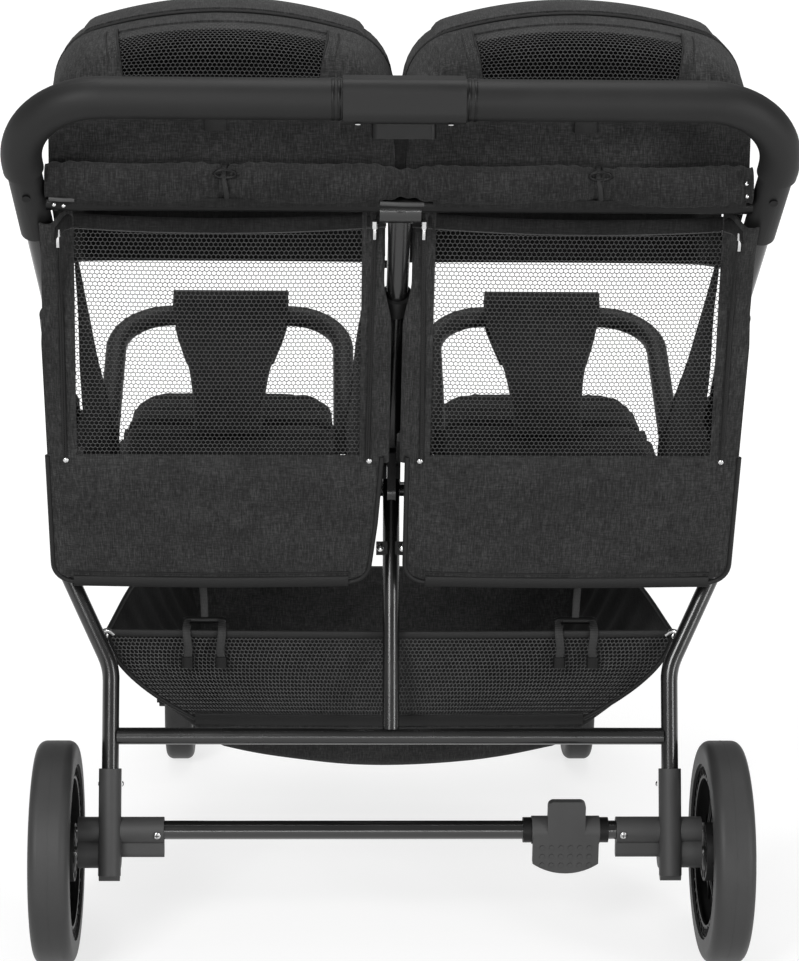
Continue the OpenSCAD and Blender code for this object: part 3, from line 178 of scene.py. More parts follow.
def ribbed(name, dark, light, pitch, direction):
    """Webbing and binding: cross ribs with uneven yarn."""
    m, tree, shader, coords = new_material(name)
    wave = add(tree, "TexWave", {"Scale": 0.314 / pitch, "Distortion": 0.6}, {"Vector": coords})
    wave.bands_direction = direction
    both = math_node(tree, "MULTIPLY", wave.outputs["Fac"], noise(tree, coords, 700, 3))
    ramp(tree, both, [(0.1, dark), (0.6, light)], shader["Base Color"])
    put(shader, {"Roughness": 0.6, "Specular IOR Level": 0.3})
    bump(tree, shader, both, 0.5, 0.0004)
    return m


PAINT = grained("frame_paint", 0.006, 0.010, 0.24, 1900, 0.00008, coat=0.2)
GLOSS_PAINT = grained("gloss_paint", 0.004, 0.007, 0.14, 1500, 0.00005, coat=0.6)
STEEL = grained("bright_steel", 0.42, 0.62, 0.22, 900, 0.00008, metal=1.0)
PLASTIC = grained("black_plastic", 0.007, 0.012, 0.5, 2400, 0.00018, spec=0.25)
GREY_PLASTIC = grained("pedal_plastic", 0.038, 0.058, 0.5, 2600, 0.0002, spec=0.3)
# Dark plastic, also used as painted shade: for the screw recesses and for the crossbar in the shaded gap under
# the roll.
DARK_PLASTIC_AND_SHADE = grained("dark_plastic_and_shade", 0.003, 0.006, 0.4, 2200, 0.00012, spec=0.2)
FOAM = grained("grip_foam", 0.010, 0.016, 0.5, 2800, 0.0002, spec=0.2)
TYRE = grained("tyre_foam", 0.028, 0.044, 0.48, 1600, 0.0003, spec=0.3)
# Darker copy of the heather cloth for the rolled flap: its extra darkness is painted shade.
SHADED_ROLL_CLOTH = woven("shaded_roll_cloth", 0.005, 0.017, 0.044, 0.1)
HEATHER = woven("heather_cloth", 0.008, 0.026, 0.064, 0.1)
DARK_CLOTH = woven("dark_cloth", 0.005, 0.013, 0.027, 0.05)
PAD_CLOTH = woven("pad_cloth", 0.002, 0.006, 0.013, 0.05)
NET = woven("net_cloth", 0.034, 0.062, 0.098, 0.0, 1400.0)
BINDING = ribbed("black_binding", 0.004, 0.011, 0.0009, "X")
WEBBING = ribbed("strap_webbing", 0.010, 0.030, 0.0016, "Z")
THREAD = ribbed("stitch_thread", 0.04, 0.09, 0.0008, "DIAGONAL")


# Mesh helpers: each shape is a pair of points in millimetres and faces
def join(*parts):
    points, faces, start = [], [], 0
    for p, f in parts:
        points.append(np.asarray(p, float).reshape(-1, 3))
        faces += [[i + start for i in face] for face in f]
        start += len(points[-1])
    return np.concatenate(points), faces


def flipped(part):
    return part[0], [list(reversed(f)) for f in part[1]]


def mirrored(part, side):
    """The shape on its own side: it is drawn on the right."""
    return part if side > 0 else flipped((np.array(part[0], float) * [-1, 1, 1], part[1]))


def piece(name, part, material, body, side=1, replaces=()):
    """Object from a shape, or a list of shapes, on a body or hung by a function that is given as body.
    """
    part = mirrored(join(*part) if isinstance(part, list) else part, side)
    mesh = bpy.data.meshes.new(name)
    mesh.from_pydata(row(part[0]).tolist(), [], [list(f) for f in part[1]])
    mesh.update()
    mesh.materials.append(material)
    mesh.shade_smooth()
    mesh.set_sharp_from_angle(angle=math.radians(50))
    obj = bpy.data.objects.new(name, mesh)
    bpy.context.collection.objects.link(obj)
    if callable(body):
        body(obj)
    elif body:
        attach(obj, body)
    for node in replaces:
        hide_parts(node)
    return obj


def cloth(points, thick, keep=None):
    """Closed thin solid about a grid of points. keep is a mask of grid cells."""
    p = np.asarray(points, float)
    n, m = p.shape[:2]
    normal = np.cross(np.gradient(p, axis=0), np.gradient(p, axis=1))
    normal /= np.maximum(np.linalg.norm(normal, axis=2, keepdims=True), 1e-9)
    front, back = p + normal * thick / 2, p - normal * thick / 2
    if keep is None:
        keep = np.ones((n - 1, m - 1), bool)
    index = np.arange(n * m).reshape(n, m)
    faces, edges = [], {}
    for i in range(n - 1):
        for j in range(m - 1):
            if not keep[i, j]:
                continue
            q = [index[i, j], index[i + 1, j], index[i + 1, j + 1], index[i, j + 1]]
            faces.append([int(v) for v in q])
            faces.append([int(v) + n * m for v in reversed(q)])
            for a, b in zip(q, q[1:] + q[:1]):
                if (b, a) in edges:
                    del edges[(b, a)]
                else:
                    edges[(a, b)] = True
    for a, b in edges:
        faces.append([int(b), int(a), int(a) + n * m, int(b) + n * m])
    all_points = np.concatenate([front.reshape(-1, 3), back.reshape(-1, 3)])
    used = sorted({v for f in faces for v in f})
    place = {v: k for k, v in enumerate(used)}
    return all_points[used], [[place[v] for v in f] for f in faces]


def bands(rings, sides, closed=False, start=0, inward=False):
    """Quads that join each ring of points to the next one."""
    faces = []
    for i in range(rings if closed else rings - 1):
        a, b = start + i * sides, start + (i + 1) % rings * sides
        for k in range(sides):
            l = (k + 1) % sides
            faces.append([a + k, b + k, b + l, a + l] if inward else [a + k, a + l, b + l, b + k])
    return faces


def sweep(path, section, up=(0, 0, 1), closed=False, scale=None):
    """A section drawn along a path, with flat ends. up is one direction or one for each point."""
    path = np.asarray(path, float)
    count, sides = len(path), len(section)
    if closed:
        tangent = np.roll(path, -1, 0) - np.roll(path, 1, 0)
    else:
        tangent = np.gradient(path, axis=0)
    tangent /= np.linalg.norm(tangent, axis=1, keepdims=True)
    up = np.broadcast_to(np.asarray(up, float), path.shape)
    across = np.cross(tangent, up)
    across /= np.maximum(np.linalg.norm(across, axis=1, keepdims=True), 1e-9)
    above = np.cross(across, tangent)
    sec = np.asarray(section, float)
    size = np.ones(count) if scale is None else np.asarray(scale, float)
    points = (path[:, None] + size[:, None, None] * (sec[None, :, :1] * across[:, None]
              + sec[None, :, 1:] * above[:, None])).reshape(-1, 3)
    faces = bands(count, sides, closed)
    if not closed:
        faces.append([k for k in reversed(range(sides))])
        faces.append([(count - 1) * sides + k for k in range(sides)])
    return points, faces


def round_section(r, sides=10):
    a = np.linspace(0, 2 * math.pi, sides, endpoint=False)
    return np.stack([r * np.cos(a), r * np.sin(a)], 1)


def flat_section(w, t, corner=0.35):
    c = min(w, t) * corner
    x, y = w / 2, t / 2
    half = np.array([[x - c, -y], [x, -y + c], [x, y - c], [x - c, y]])
    return np.concatenate([half, -half])


def run_of(path):
    """Length along a line up to each of its points."""
    return np.concatenate([[0], np.cumsum(np.linalg.norm(np.diff(path, axis=0), axis=1))])


def even(path, count):
    """The line through the points, as count points spaced evenly."""
    s = run_of(path)
    want = np.linspace(0, s[-1], count)
    return np.stack([np.interp(want, s, path[:, k]) for k in range(3)], 1)


def smooth_path(points, count):
    """Rounded line through the points, as count points spaced evenly."""
    p = np.asarray(points, float)
    ext = np.concatenate([[2 * p[0] - p[1]], p, [2 * p[-1] - p[-2]]])
    out = []
    for i in range(1, len(ext) - 2):
        a, b, c, d = ext[i - 1:i + 3]
        for t in np.linspace(0, 1, 24, endpoint=False):
            out.append(0.5 * (2 * b + (c - a) * t + (2 * a - 5 * b + 4 * c - d) * t * t
                              + (3 * b - a - 3 * c + d) * t ** 3))
    return even(np.array(out + [p[-1]]), count)


def stitches(path, normal, dash=2.6, gap=1.9, r=0.35):
    """A row of short raised threads along a path."""
    path = np.asarray(path, float)
    s = run_of(path)
    normal = np.broadcast_to(np.asarray(normal, float), path.shape)
    parts = []
    d = 0.0
    while d + dash < s[-1]:
        ends = [np.array([np.interp(d + e, s, path[:, k]) for k in range(3)]) for e in (0, dash / 2, dash)]
        up = np.array([np.interp(d, s, normal[:, k]) for k in range(3)])
        line = np.array([ends[0], ends[1] + up * 0.4, ends[2]])
        parts.append(sweep(line, round_section(r, 5), up, scale=[0.5, 1, 0.5]))
        d += dash + gap
    return join(*parts)


def lathe(profile, axis_at, count=48):
    """Closed ring from (radius, along) points about an axis across the stroller through axis_at."""
    prof = np.asarray(profile, float)
    a = np.linspace(0, 2 * math.pi, count, endpoint=False)[:, None]
    r, t = prof[None, :, 0], prof[None, :, 1]
    points = np.stack([t + 0 * a, r * np.cos(a), r * np.sin(a)], 2).reshape(-1, 3)
    return points + np.asarray(axis_at, float), bands(count, len(prof), True, inward=True)


def turned(part, rotation, place):
    """A shape drawn about zero, turned by a matrix and moved to its place."""
    return np.asarray(part[0]) @ np.asarray(rotation).T + np.asarray(place), part[1]


def facing(direction):
    """Matrix whose Z column is the direction."""
    return np.array(Vector(direction).to_track_quat("Z", "Y").to_matrix())


def dome(r, h, rings=4, count=16):
    """Round button head standing on zero, along Z."""
    points = [[0, 0, h]]
    for i in range(1, rings + 1):
        a = i / rings * math.pi / 2
        for k in range(count):
            b = 2 * math.pi * k / count
            points.append([r * math.sin(a) * math.cos(b), r * math.sin(a) * math.sin(b), h * math.cos(a)])
    faces = [[0, 1 + k, 1 + (k + 1) % count] for k in range(count)]
    faces += bands(rings, count, start=1, inward=True)
    faces.append([1 + (rings - 1) * count + k for k in reversed(range(count))])
    return np.array(points, float), faces


def screw(place, direction, r):
    """Pan head with a recessed cross, drawn as dark bars of painted shade."""
    arm, height = r * 0.55, r * 0.43
    section, m = flat_section(r * 0.22, r * 0.1), facing(direction)
    bars = [sweep([[-x, -y, height], [x, y, height]], section) for x, y in ((arm, 0), (0, arm))]
    return turned(dome(r, r * 0.45, 4, 20), m, place), join(*[turned(b, m, place) for b in bars])


def net(surface, u_range, v_range, pitch, inside, hole):
    """Net of six sided meshes on a surface of u and v. pitch is the step across and between rows."""
    pu, pv = pitch
    relief, e = 0.35, 0.2
    rows = np.arange(math.floor(v_range[0] / pv), math.ceil(v_range[1] / pv) + 1)
    cells = []
    for j in rows:
        shift = 0.5 if j % 2 else 0.0
        for i in range(math.floor(u_range[0] / pu) - 1, math.ceil(u_range[1] / pu) + 2):
            cells.append(((i + shift) * pu, j * pv))
    cells = np.array(cells)
    cells = cells[inside(cells[:, 0], cells[:, 1])]
    corner = np.array([[0, 2], [-1, 1], [-1, -1], [0, -2], [1, -1], [1, 1]]) * [pu / 2, pv / 3]
    outer = cells[:, None] + corner[None]
    inner = cells[:, None] + corner[None] * hole * [1.0, 0.94]
    key = np.round(outer / [pu / 2, pv / 3]).astype(int).reshape(-1, 2)
    unique, inverse = np.unique(key, axis=0, return_inverse=True)
    inverse = inverse.reshape(-1)
    uv = np.concatenate([unique * [pu / 2, pv / 3], inner.reshape(-1, 2)])
    p = surface(uv[:, 0], uv[:, 1])
    a = surface(uv[:, 0] + e, uv[:, 1]) - p
    b = surface(uv[:, 0], uv[:, 1] + e) - p
    normal = np.cross(a, b)
    normal /= np.linalg.norm(normal, axis=1, keepdims=True)
    p[:len(unique)] += normal[:len(unique)] * relief
    base = len(unique)
    faces = []
    for c in range(0, 6 * len(cells), 6):
        for k, l in ((0, 1), (1, 2), (2, 3), (3, 4), (4, 5), (5, 0)):
            faces.append([int(inverse[c + k]), int(inverse[c + l]), base + c + l, base + c + k])
    return p, faces


def ripple(a, b, seed):
    """Smooth uneven waves over two coordinates, the same each run."""
    rng = np.random.default_rng(seed)
    total = np.zeros(np.broadcast(a, b).shape)
    for _ in range(7):
        fa, fb = rng.uniform(-1, 1, 2)
        total = total + np.sin(2 * math.pi * (fa * a + fb * b) + rng.uniform(0, 6.28)) / 7
    return total


# Carried over solids get their finish here
def pair(*names):
    return [n + side for n in names for side in ("_left", "_right")]


FINISH = {
    PAINT: ["uprights", "front_legs", "handle_bar", "center_tube", "front_cross_tube", "seat_tube",
            "rear_cross_tube", "center_post"] + pair("rear_leg"),
    GLOSS_PAINT: ["rear_axle"],
    STEEL: ["hinge_pins", "stub_axles"] + pair("brake_pin"),
    PLASTIC: ["fold_housing", "handle_sockets", "swivel_housings", "canopy_pivots", "bumper_mounts"]
    + pair("side_hub", "seat_pan", "bumper_bar", "front_fork", "rear_rim", "front_rim"),
    # upper_crossbar takes the darkest plastic as painted shade for the shaded gap under the rolled flap.
    DARK_PLASTIC_AND_SHADE: ["upper_crossbar", "fold_trigger", "brake_collars"] + pair("snap_button"),
    GREY_PLASTIC: ["brake_pedal", "rear_brackets"],
    FOAM: ["handle_grips"],
    TYRE: pair("rear_tyre", "front_tyre"),
}
for material, names in FINISH.items():
    for name in names:
        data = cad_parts[name].data
        data.materials.clear()
        data.materials.append(material)
        data.shade_smooth()
        data.set_sharp_from_angle(angle=math.radians(32))


# Reclining backs
BACK_IN, BACK_EDGE, BACK_TOP, BACK_FOOT = 15.0, 354.0, 399.0, -38.0
NET_IN, NET_FOOT = 33.0, 118.0


def back_at(x, h, out):
    """Point of the right back: x across, h up the panel from its hinge, out behind its middle."""
    x, h, out = np.broadcast_arrays(*[np.asarray(v, float) for v in (x, h, out)])
    p = BACK_AXIS + BACK_OUT * (6 + out[..., None]) + BACK_UP * h[..., None]
    p[..., 0] = x
    return p


def net_edge(h):
    """Outer edge of the net, which draws in towards the top."""
    return 326 - 8 * (np.asarray(h, float) - NET_FOOT) / (BACK_TOP - NET_FOOT)


def net_bulge(x, h):
    u = (x - NET_IN) / (net_edge(h) - NET_IN) * 2 - 1
    v = (h - NET_FOOT) / (BACK_TOP - NET_FOOT) * 2 - 1
    return 3.5 * np.clip(1 - u * u, 0, 1) * np.clip(1 - v * v, 0, 1)


def top_sag(x):
    """The top binding hangs a little between its corners."""
    u = (np.asarray(x, float) - BACK_IN) / (BACK_EDGE - BACK_IN) * 2 - 1
    return 8.0 * np.clip(1 - u * u, 0, 1)


def drape(x, h):
    """How far the outer strip stands out where it lies behind the leaning upright."""
    over = np.clip((np.asarray(x, float) - 322) / 16, 0, 1)
    return over * over * (3 - 2 * over) * 0.34 * np.clip(np.asarray(h, float) - 288, 0, None)


def make_back(name, side):
    body = "seat_back_" + name

    def inside(u, v):
        return (u > NET_IN - 3) & (u < net_edge(v) + 3) & (v > NET_FOOT - 2) & (v < BACK_TOP - top_sag(u) - 9)

    part = net(lambda u, v: back_at(u, v, 1.5 + net_bulge(u, v)), (NET_IN, 328), (NET_FOOT, BACK_TOP),
               (4.6, 4.43), inside, 0.86)
    piece("back_net_" + name, part, NET, body, side, [body])

    # Heather panel below the net, with rounded lower corners and a soft crown
    corner = 22.0
    h = np.linspace(BACK_FOOT + 9, NET_FOOT + 5, 30)[:, None]
    u = np.linspace(0, 1, 40)[None]
    drop = np.clip((BACK_FOOT + 9 + corner - h) / corner, 0, 1)
    pull = corner * (1 - np.sqrt(np.clip(1 - drop * drop, 0, 1)))
    v = (h - h[0]) / (h[-1] - h[0])
    tuck = 11.0 if side < 0 else 0.0
    x0, x1 = BACK_IN - 2 + pull + tuck * (1 - v), BACK_EDGE + 1 - pull
    crown = 5.5 * (1 - (2 * u - 1) ** 6) * (1 - (2 * v - 1) ** 6)
    wave = 0.9 * ripple(u * 3, v * 2, 5 + side) * (1 - (2 * u - 1) ** 4)
    part = cloth(back_at(x0 + (x1 - x0) * u, h, 3 + crown + wave), 2.4)
    piece("back_panel_" + name, part, HEATHER, body, side)

    # Black binding: piping round the panel, a folded band along its foot and a seam above it
    a = np.linspace(0, math.pi / 2, 9)
    foot = BACK_FOOT + 6 + corner
    near, far = BACK_IN - 2, BACK_EDGE + 1
    line = np.array([(near, NET_FOOT + 4), (near + tuck / 2, 40)]
                    + [(near + tuck + corner - corner * math.cos(t), foot - corner * math.sin(t)) for t in a]
                    + [(far - corner + corner * math.sin(t), foot - corner * math.cos(t)) for t in a]
                    + [(far, 40), (far, NET_FOOT + 4)])
    rim = even(back_at(line[:, 0], line[:, 1], 4.0), 160)
    hem = np.array([(BACK_IN + 20 + tuck, 8), (180, 6), (BACK_EDGE - 20, 8)]) + [0, BACK_FOOT]
    low = smooth_path(back_at(hem[:, 0], hem[:, 1], 5.2), 40)
    seam = smooth_path(back_at(hem[:, 0], hem[:, 1] + 12, 7.6), 40)
    parts = [sweep(rim, round_section(2.6, 10), BACK_OUT), sweep(low, flat_section(5, 13, 0.3), BACK_UP),
             sweep(seam, round_section(0.8, 8), BACK_OUT)]
    piece("back_piping_" + name, parts, BINDING, body, side)

    # Top binding with a thin lighter edge, and the cloth strips down both sides
    xs = np.linspace(BACK_IN - 2, 334, 44)
    top = back_at(xs, BACK_TOP - 7.5 - top_sag(xs), 1.5 + drape(xs, BACK_TOP))
    piece("back_top_" + name, sweep(top, flat_section(15, 6, 0.4), BACK_OUT), DARK_CLOTH, body, side)
    edge = back_at(xs, BACK_TOP - 15 - top_sag(xs), 4.0 + drape(xs, BACK_TOP - 15))
    piece("back_top_edge_" + name, sweep(edge, round_section(0.7, 8), BACK_OUT), NET, body, side)
    hs = np.linspace(NET_FOOT - 4, BACK_TOP + 4, 70)[:, None]
    w = np.linspace(0, 1, 25)[None]
    folds = 1.1 * np.sin(w * 15 + 0.7 * np.sin(hs / 60)) * np.sin(math.pi * w)
    clear = np.clip((hs - 270) / 55, 0, 1)
    near = 6 + 8 * clear * clear * (3 - 2 * clear)
    inner = near + (NET_IN + 3 - near) * w
    far = BACK_EDGE + 1 - 8 * np.clip((hs - 250) / 120, 0, 1)
    outer = net_edge(hs) - 1 + (far + 1 - net_edge(hs)) * w
    strips = [cloth(back_at(inner, hs, 3.6 + folds - 3 * (1 - w) ** 6), 1.8),
              cloth(back_at(outer, hs, 3.6 + folds + drape(outer, hs) - 5 * w ** 6), 1.8)]
    piece("back_strips_" + name, strips, HEATHER, body, side)

    # Zips along the strips, their pulls, and the press studs at the panel's top corners
    bands, teeth, metal = [], [], []
    hs = np.linspace(NET_FOOT, BACK_TOP - 6, 50)
    for x_low, x_top in ((28.0, 24.0), (337.0, 331.0)):
        xs = x_low + (x_top - x_low) * (hs - hs[0]) / (hs[-1] - hs[0])
        bands.append(sweep(back_at(xs, hs, 5.4 + drape(xs, hs)), flat_section(4.4, 2.4), BACK_OUT))
        teeth.append(stitches(back_at(xs, hs, 6.7 + drape(xs, hs)), BACK_OUT, 1.2, 1.0, 0.6))
        p = back_at(x_top, BACK_TOP - 7, 7.6 + drape(x_top, BACK_TOP - 7))
        metal.append(sweep(np.array([p, p - BACK_UP * 8]), flat_section(5.5, 3.6), BACK_OUT))
        tag = [p - BACK_UP * down + BACK_OUT * out for down, out in ((8, 1), (13, 2.2), (19, 1.6))]
        metal.append(sweep(smooth_path(tag, 8), flat_section(3.2, 1.1), BACK_OUT))
    for x in (26.0, 336.0):
        metal.append(turned(dome(3.4, 2.2), facing(BACK_OUT), back_at(x, NET_FOOT, 6.4)))
    piece("back_zip_" + name, bands, BINDING, body, side)
    piece("back_zip_teeth_" + name, teeth, DARK_PLASTIC_AND_SHADE, body, side)
    piece("back_metal_" + name, metal, STEEL, body, side)


# Side wings: dark cloth between the seat and the back, with a bound front edge
def make_wings(name, side):
    def follow(obj):
        at(0, 150, 500)
        at(0, 40, 560)
        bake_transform(obj)

    for tag, x_back, x_seat in (("outer", 318.0, 300.0), ("inner", 28.0, 50.0)):
        t = np.linspace(0, 1, 26)[:, None]
        w = np.linspace(0, 1, 22)[None]
        back_line = back_at(x_back, 24 + 318 * t, -8.0)
        tip = np.array([x_seat, 240.0, 499.0])
        front = tip + (back_at(x_back, 342.0, -8.0) - tip) * t[..., None]
        front = front + np.array([0, -12.0, 0]) * (4 * t * (1 - t))[..., None]
        p = back_line + (front - back_line) * w[..., None]
        swell = np.sin(math.pi * t) * np.sin(math.pi * w)
        p[..., 0] += (-7 if tag == "outer" else 7) * swell + 1.5 * ripple(t * 3, w * 2, 11)
        piece("wing_%s_%s" % (tag, name), cloth(p, 1.6), DARK_CLOTH, follow, side,
              ["side_wings"] if tag == "outer" else [])
        edge = sweep(p[:, -1], round_section(2.2, 8), (1, 0, 0))
        piece("wing_edge_%s_%s" % (tag, name), edge, BINDING, follow, side)


# Canopies
CANOPY_X, CANOPY_R, CANOPY_W = 172.0, 262.0, 167.0
CANOPY_CORNER, CANOPY_ROOF, CANOPY_ARC = 62.0, 420.0, 105.0
WALL, REAR_IN, FRONT_IN = 106.0, 1.3, 6.9
WINDOW_TOP, WINDOW_FOOT = -13.5, -31.0


def canopy_curve(inset):
    """Half of a canopy's outline from its pivot to the middle of the roof: length, x and radius."""
    lift = CANOPY_R - CANOPY_ROOF
    arc_r = lift + math.sqrt((CANOPY_ROOF - CANOPY_CORNER) ** 2 - CANOPY_ARC ** 2)
    turn = math.atan2(CANOPY_ARC, arc_r - lift)
    a, b = np.linspace(0, math.pi / 2 - turn, 40), np.linspace(turn, 0, 40)[1:]
    corner, roof = CANOPY_CORNER - inset, CANOPY_ROOF - inset
    x = np.concatenate([[CANOPY_W - inset], CANOPY_ARC + corner * np.cos(a), roof * np.sin(b)])
    r = np.concatenate([[14.0], arc_r + corner * np.sin(a), lift + roof * np.cos(b)])
    return np.concatenate([[0], np.cumsum(np.hypot(np.diff(x), np.diff(r)))]), x, r


def canopy_profile(s, inset):
    """Across a canopy: s runs 0 to 1 from one pivot over the roof to the other. Gives x and radius."""
    d, x, r = canopy_curve(inset)
    s = np.asarray(s, float)
    near = (1 - np.abs(2 * s - 1)) * d[-1]
    return np.where(s > 0.5, 1, -1) * np.interp(near, d, x), np.interp(near, d, r)


def s_of_x(x, inset):
    """Where on the profile a roof or corner point with that x lies."""
    d, cx, _ = canopy_curve(inset)
    near = np.interp(-np.abs(x), -cx[1:], d[1:]) / (2 * d[-1])
    return np.where(np.asarray(x) > 0, 1 - near, near)


def roof_r(x, inset):
    _, cx, r = canopy_curve(inset)
    return np.interp(-np.abs(x), -cx[1:], r[1:])


def canopy_at(x, rad, angle, wall=WALL):
    """Point of the right canopy at an angle forward of upright, held in by the upright rear wall."""
    x, rad, angle = np.broadcast_arrays(*[np.asarray(v, float) for v in (x, rad, angle)])
    a = np.radians(angle)
    reach = np.where(a < -0.05, wall / np.maximum(np.sin(-a), 1e-3), 1e6)
    soft = 18.0
    rho = (rad ** -soft + np.minimum(reach, 1e6) ** -soft) ** (-1 / soft)
    return np.stack([CANOPY_X + x, PIVOT[1] + rho * np.sin(a), PIVOT[2] + rho * np.cos(a)], -1)


def canopy_normal(path):
    """Directions away from the pivot line, one for each point."""
    n = (path - PIVOT) * [0, 1, 1]
    return n / np.linalg.norm(n, axis=1, keepdims=True)


def window_half(angle):
    """Half the width of the rear window, which narrows downwards."""
    v = np.clip((WINDOW_TOP - np.asarray(angle, float)) / (WINDOW_TOP - WINDOW_FOOT), 0, 1)
    return 101 - 11 * v ** 1.8


def rear_sag(angle, x):
    """Cloth dips a little between the bows, and less near the corners."""
    a = np.asarray(angle, float)
    return 2.0 * np.sin(np.clip((a + 22) / 52, 0, 1) * math.pi) * np.clip(1 - (np.abs(x) / 140) ** 4, 0, 1)


def make_rear_canopy(name, side):
    body = "chassis"
    angles = np.concatenate([np.linspace(-48, WINDOW_FOOT, 18), np.linspace(WINDOW_FOOT, WINDOW_TOP, 20)[1:],
                             np.linspace(WINDOW_TOP, 33.5, 16)[1:]])
    half = window_half(angles)
    k0, k1 = 30, 22
    s = np.stack([np.r_[np.linspace(0, a, k0), np.linspace(a, b, k1)[1:], np.linspace(b, 1, k0)[1:]]
                  for a, b in zip(s_of_x(-half, REAR_IN), s_of_x(half, REAR_IN))])
    x, rad = canopy_profile(s, REAR_IN)
    ang = angles[:, None] + 0 * s
    crease = 1.2 * ripple(s * 5, ang / 22, 21 + side) * np.clip((-ang - 8) / 20, 0, 1)
    fold = -2.2 * np.exp(-((ang + 41 + 1.5 * np.sin(s * 9)) / 2.2) ** 2)
    p = canopy_at(x, rad - rear_sag(ang, x) + crease + fold, ang, WALL + crease)
    keep = np.ones((len(angles) - 1, s.shape[1] - 1), bool)
    mid = (angles[:-1] + angles[1:]) / 2
    keep[np.ix_((mid > WINDOW_FOOT) & (mid < WINDOW_TOP), np.arange(k0 - 1, k0 + k1 - 2))] = False
    main = "canopy_rear_cloth_" + name
    piece(main, cloth(p, 2.2, keep), HEATHER, body, side, ["canopy_rear_" + name])

    # Net window, its paler head band, the bound edges and the sewn strips beside them
    sample = np.linspace(WINDOW_TOP + 5, WINDOW_FOOT - 5, 200)
    along = run_of(canopy_at(0, roof_r(0, REAR_IN), sample))

    def surface(u, v):
        angle = np.interp(v, along, sample)
        return canopy_at(u, roof_r(u, REAR_IN) - rear_sag(angle, u) - 0.6, angle)

    def inside(u, v):
        angle = np.interp(v, along, sample)
        return (np.abs(u) < window_half(angle) + 2) & (angle < WINDOW_TOP + 1) & (angle > WINDOW_FOOT - 1)

    part = flipped(net(surface, (-104, 104), (0, along[-1]), (4.4, 3.7), inside, 0.84))
    piece("canopy_net_" + name, part, NET, body, side)
    xs = np.linspace(-100, 100, 40)
    ang = np.linspace(WINDOW_TOP - 3.2, WINDOW_TOP + 0.4, 5)[:, None]
    part = cloth(canopy_at(xs[None], roof_r(xs, REAR_IN)[None] - 2.6, ang), 1.0)
    piece("canopy_band_" + name, part, NET, body, side)
    cords, seams = [], []
    va = np.linspace(WINDOW_TOP + 1, WINDOW_FOOT, 34)
    for away in (-1, 1):
        for off, thick in ((0.5, 1.0), (4.5, 0), (9.5, 0), (11.5, 0.7)):
            xx = away * (window_half(va) + off)
            path = canopy_at(xx, roof_r(xx, REAR_IN) - rear_sag(va, xx) + 1.3, va)
            if thick:
                cords.append(sweep(path, round_section(thick, 8), canopy_normal(path)))
            else:
                seams.append(stitches(path, canopy_normal(path)))
    piece("canopy_stitching_" + name, seams, THREAD, body, side)

    # Bow strip over the top: a raised flap with rounded ends, and piping along every edge; the piping under
    # its lower edge is also painted shadow.
    xs = np.linspace(-137, 137, 70)
    end = np.minimum(xs - xs[0], xs[-1] - xs)
    taper = np.sqrt(np.clip(1 - (1 - np.clip(end / 8, 0, 1)) ** 2, 0.02, 1))
    rr = roof_r(xs, REAR_IN)
    w = np.linspace(0, 1, 15)[:, None]
    lift = 3.6 * taper[None] * np.sin(math.pi * np.clip(w * 0.86 + 0.1, 0, 1)) ** 0.35 + 0.8
    part = cloth(canopy_at(xs[None], rr[None] + lift, -7.6 + 38 * w), 2.0)
    piece("canopy_visor_" + name, part, HEATHER, body, side)
    cords.append(sweep(canopy_at(xs, rr + 1.6, 30.6), round_section(1.5, 8), (1, 0, 0.01)))
    xe, re = canopy_profile(np.linspace(0.02, 0.98, 120), REAR_IN)
    cords.append(sweep(canopy_at(xe, re + 0.6, 33.2), round_section(1.9, 8), (0, 0.4, 0.9)))
    # Black piping just under the visor's lower edge: partly piping, partly a painted shadow line below the
    # visor.
    cords.append(sweep(canopy_at(xe, re + 1.2, -7.9), round_section(1.6, 8), (0, 0.4, 0.9)))
    piece("canopy_piping_" + name, cords, BINDING, body, side)

    # Black loop on the rear wall, and the dark gore that closes the gap between the two canopies: its dark
    # cloth is painted shade for the shaded gap.
    y = PIVOT[1] - WALL - 1.2
    tab = np.array([[SEAT_X, y, 920], [SEAT_X, y - 1.8, 911], [SEAT_X, y - 0.8, 902]])
    part = sweep(smooth_path(tab, 10), flat_section(22, 1.8), (0, -1, 0))
    piece("canopy_loop_" + name, part, BINDING, body, side)
    if side > 0:
        # Dark cloth here is painted shade for the gap between the canopies.
        xs, zs = np.meshgrid(np.linspace(-11, 11, 9), np.linspace(846, 924, 16))
        part = cloth(np.stack([xs, y + 5 - 3 * np.cos(xs / 11 * math.pi / 2), zs], -1), 1.6)
        piece("canopy_gore_shade", part, DARK_CLOTH, body)


def make_front_canopy(name, side):
    body = "canopy_front_" + name
    s = np.linspace(0, 1, 90)[None]
    angle = np.linspace(31, 102, 30)[:, None]
    x, rad = canopy_profile(s, FRONT_IN)
    v = (angle - 31) / 71
    sag = 3.5 * np.abs(np.sin(2 * math.pi * v)) ** 1.2 * np.clip(1 - (np.abs(x) / 150) ** 4, 0, 1)
    p = canopy_at(x, rad - sag + 0.5 * ripple(s * 5, v * 3, 40 + side), angle)
    piece("canopy_front_cloth_" + name, cloth(p, 2.0), DARK_CLOTH, body, side, [body])
    cords, seams = [], []
    for a, size in ((101.6, 2.4), (66, 1.3)):
        cords.append(sweep(canopy_at(x[0], rad[0] + 0.4, a), round_section(size, 8), (0, 0.9, 0.4)))
    piece("canopy_front_piping_" + name, cords, BINDING, body, side)
    for a in (99.0, 68.2, 63.8):
        path = canopy_at(x[0][6:-6], rad[0][6:-6] + 1.2, a)
        seams.append(stitches(path, canopy_normal(path), 3.2, 2.4))
    piece("canopy_front_stitching_" + name, seams, THREAD, body, side)


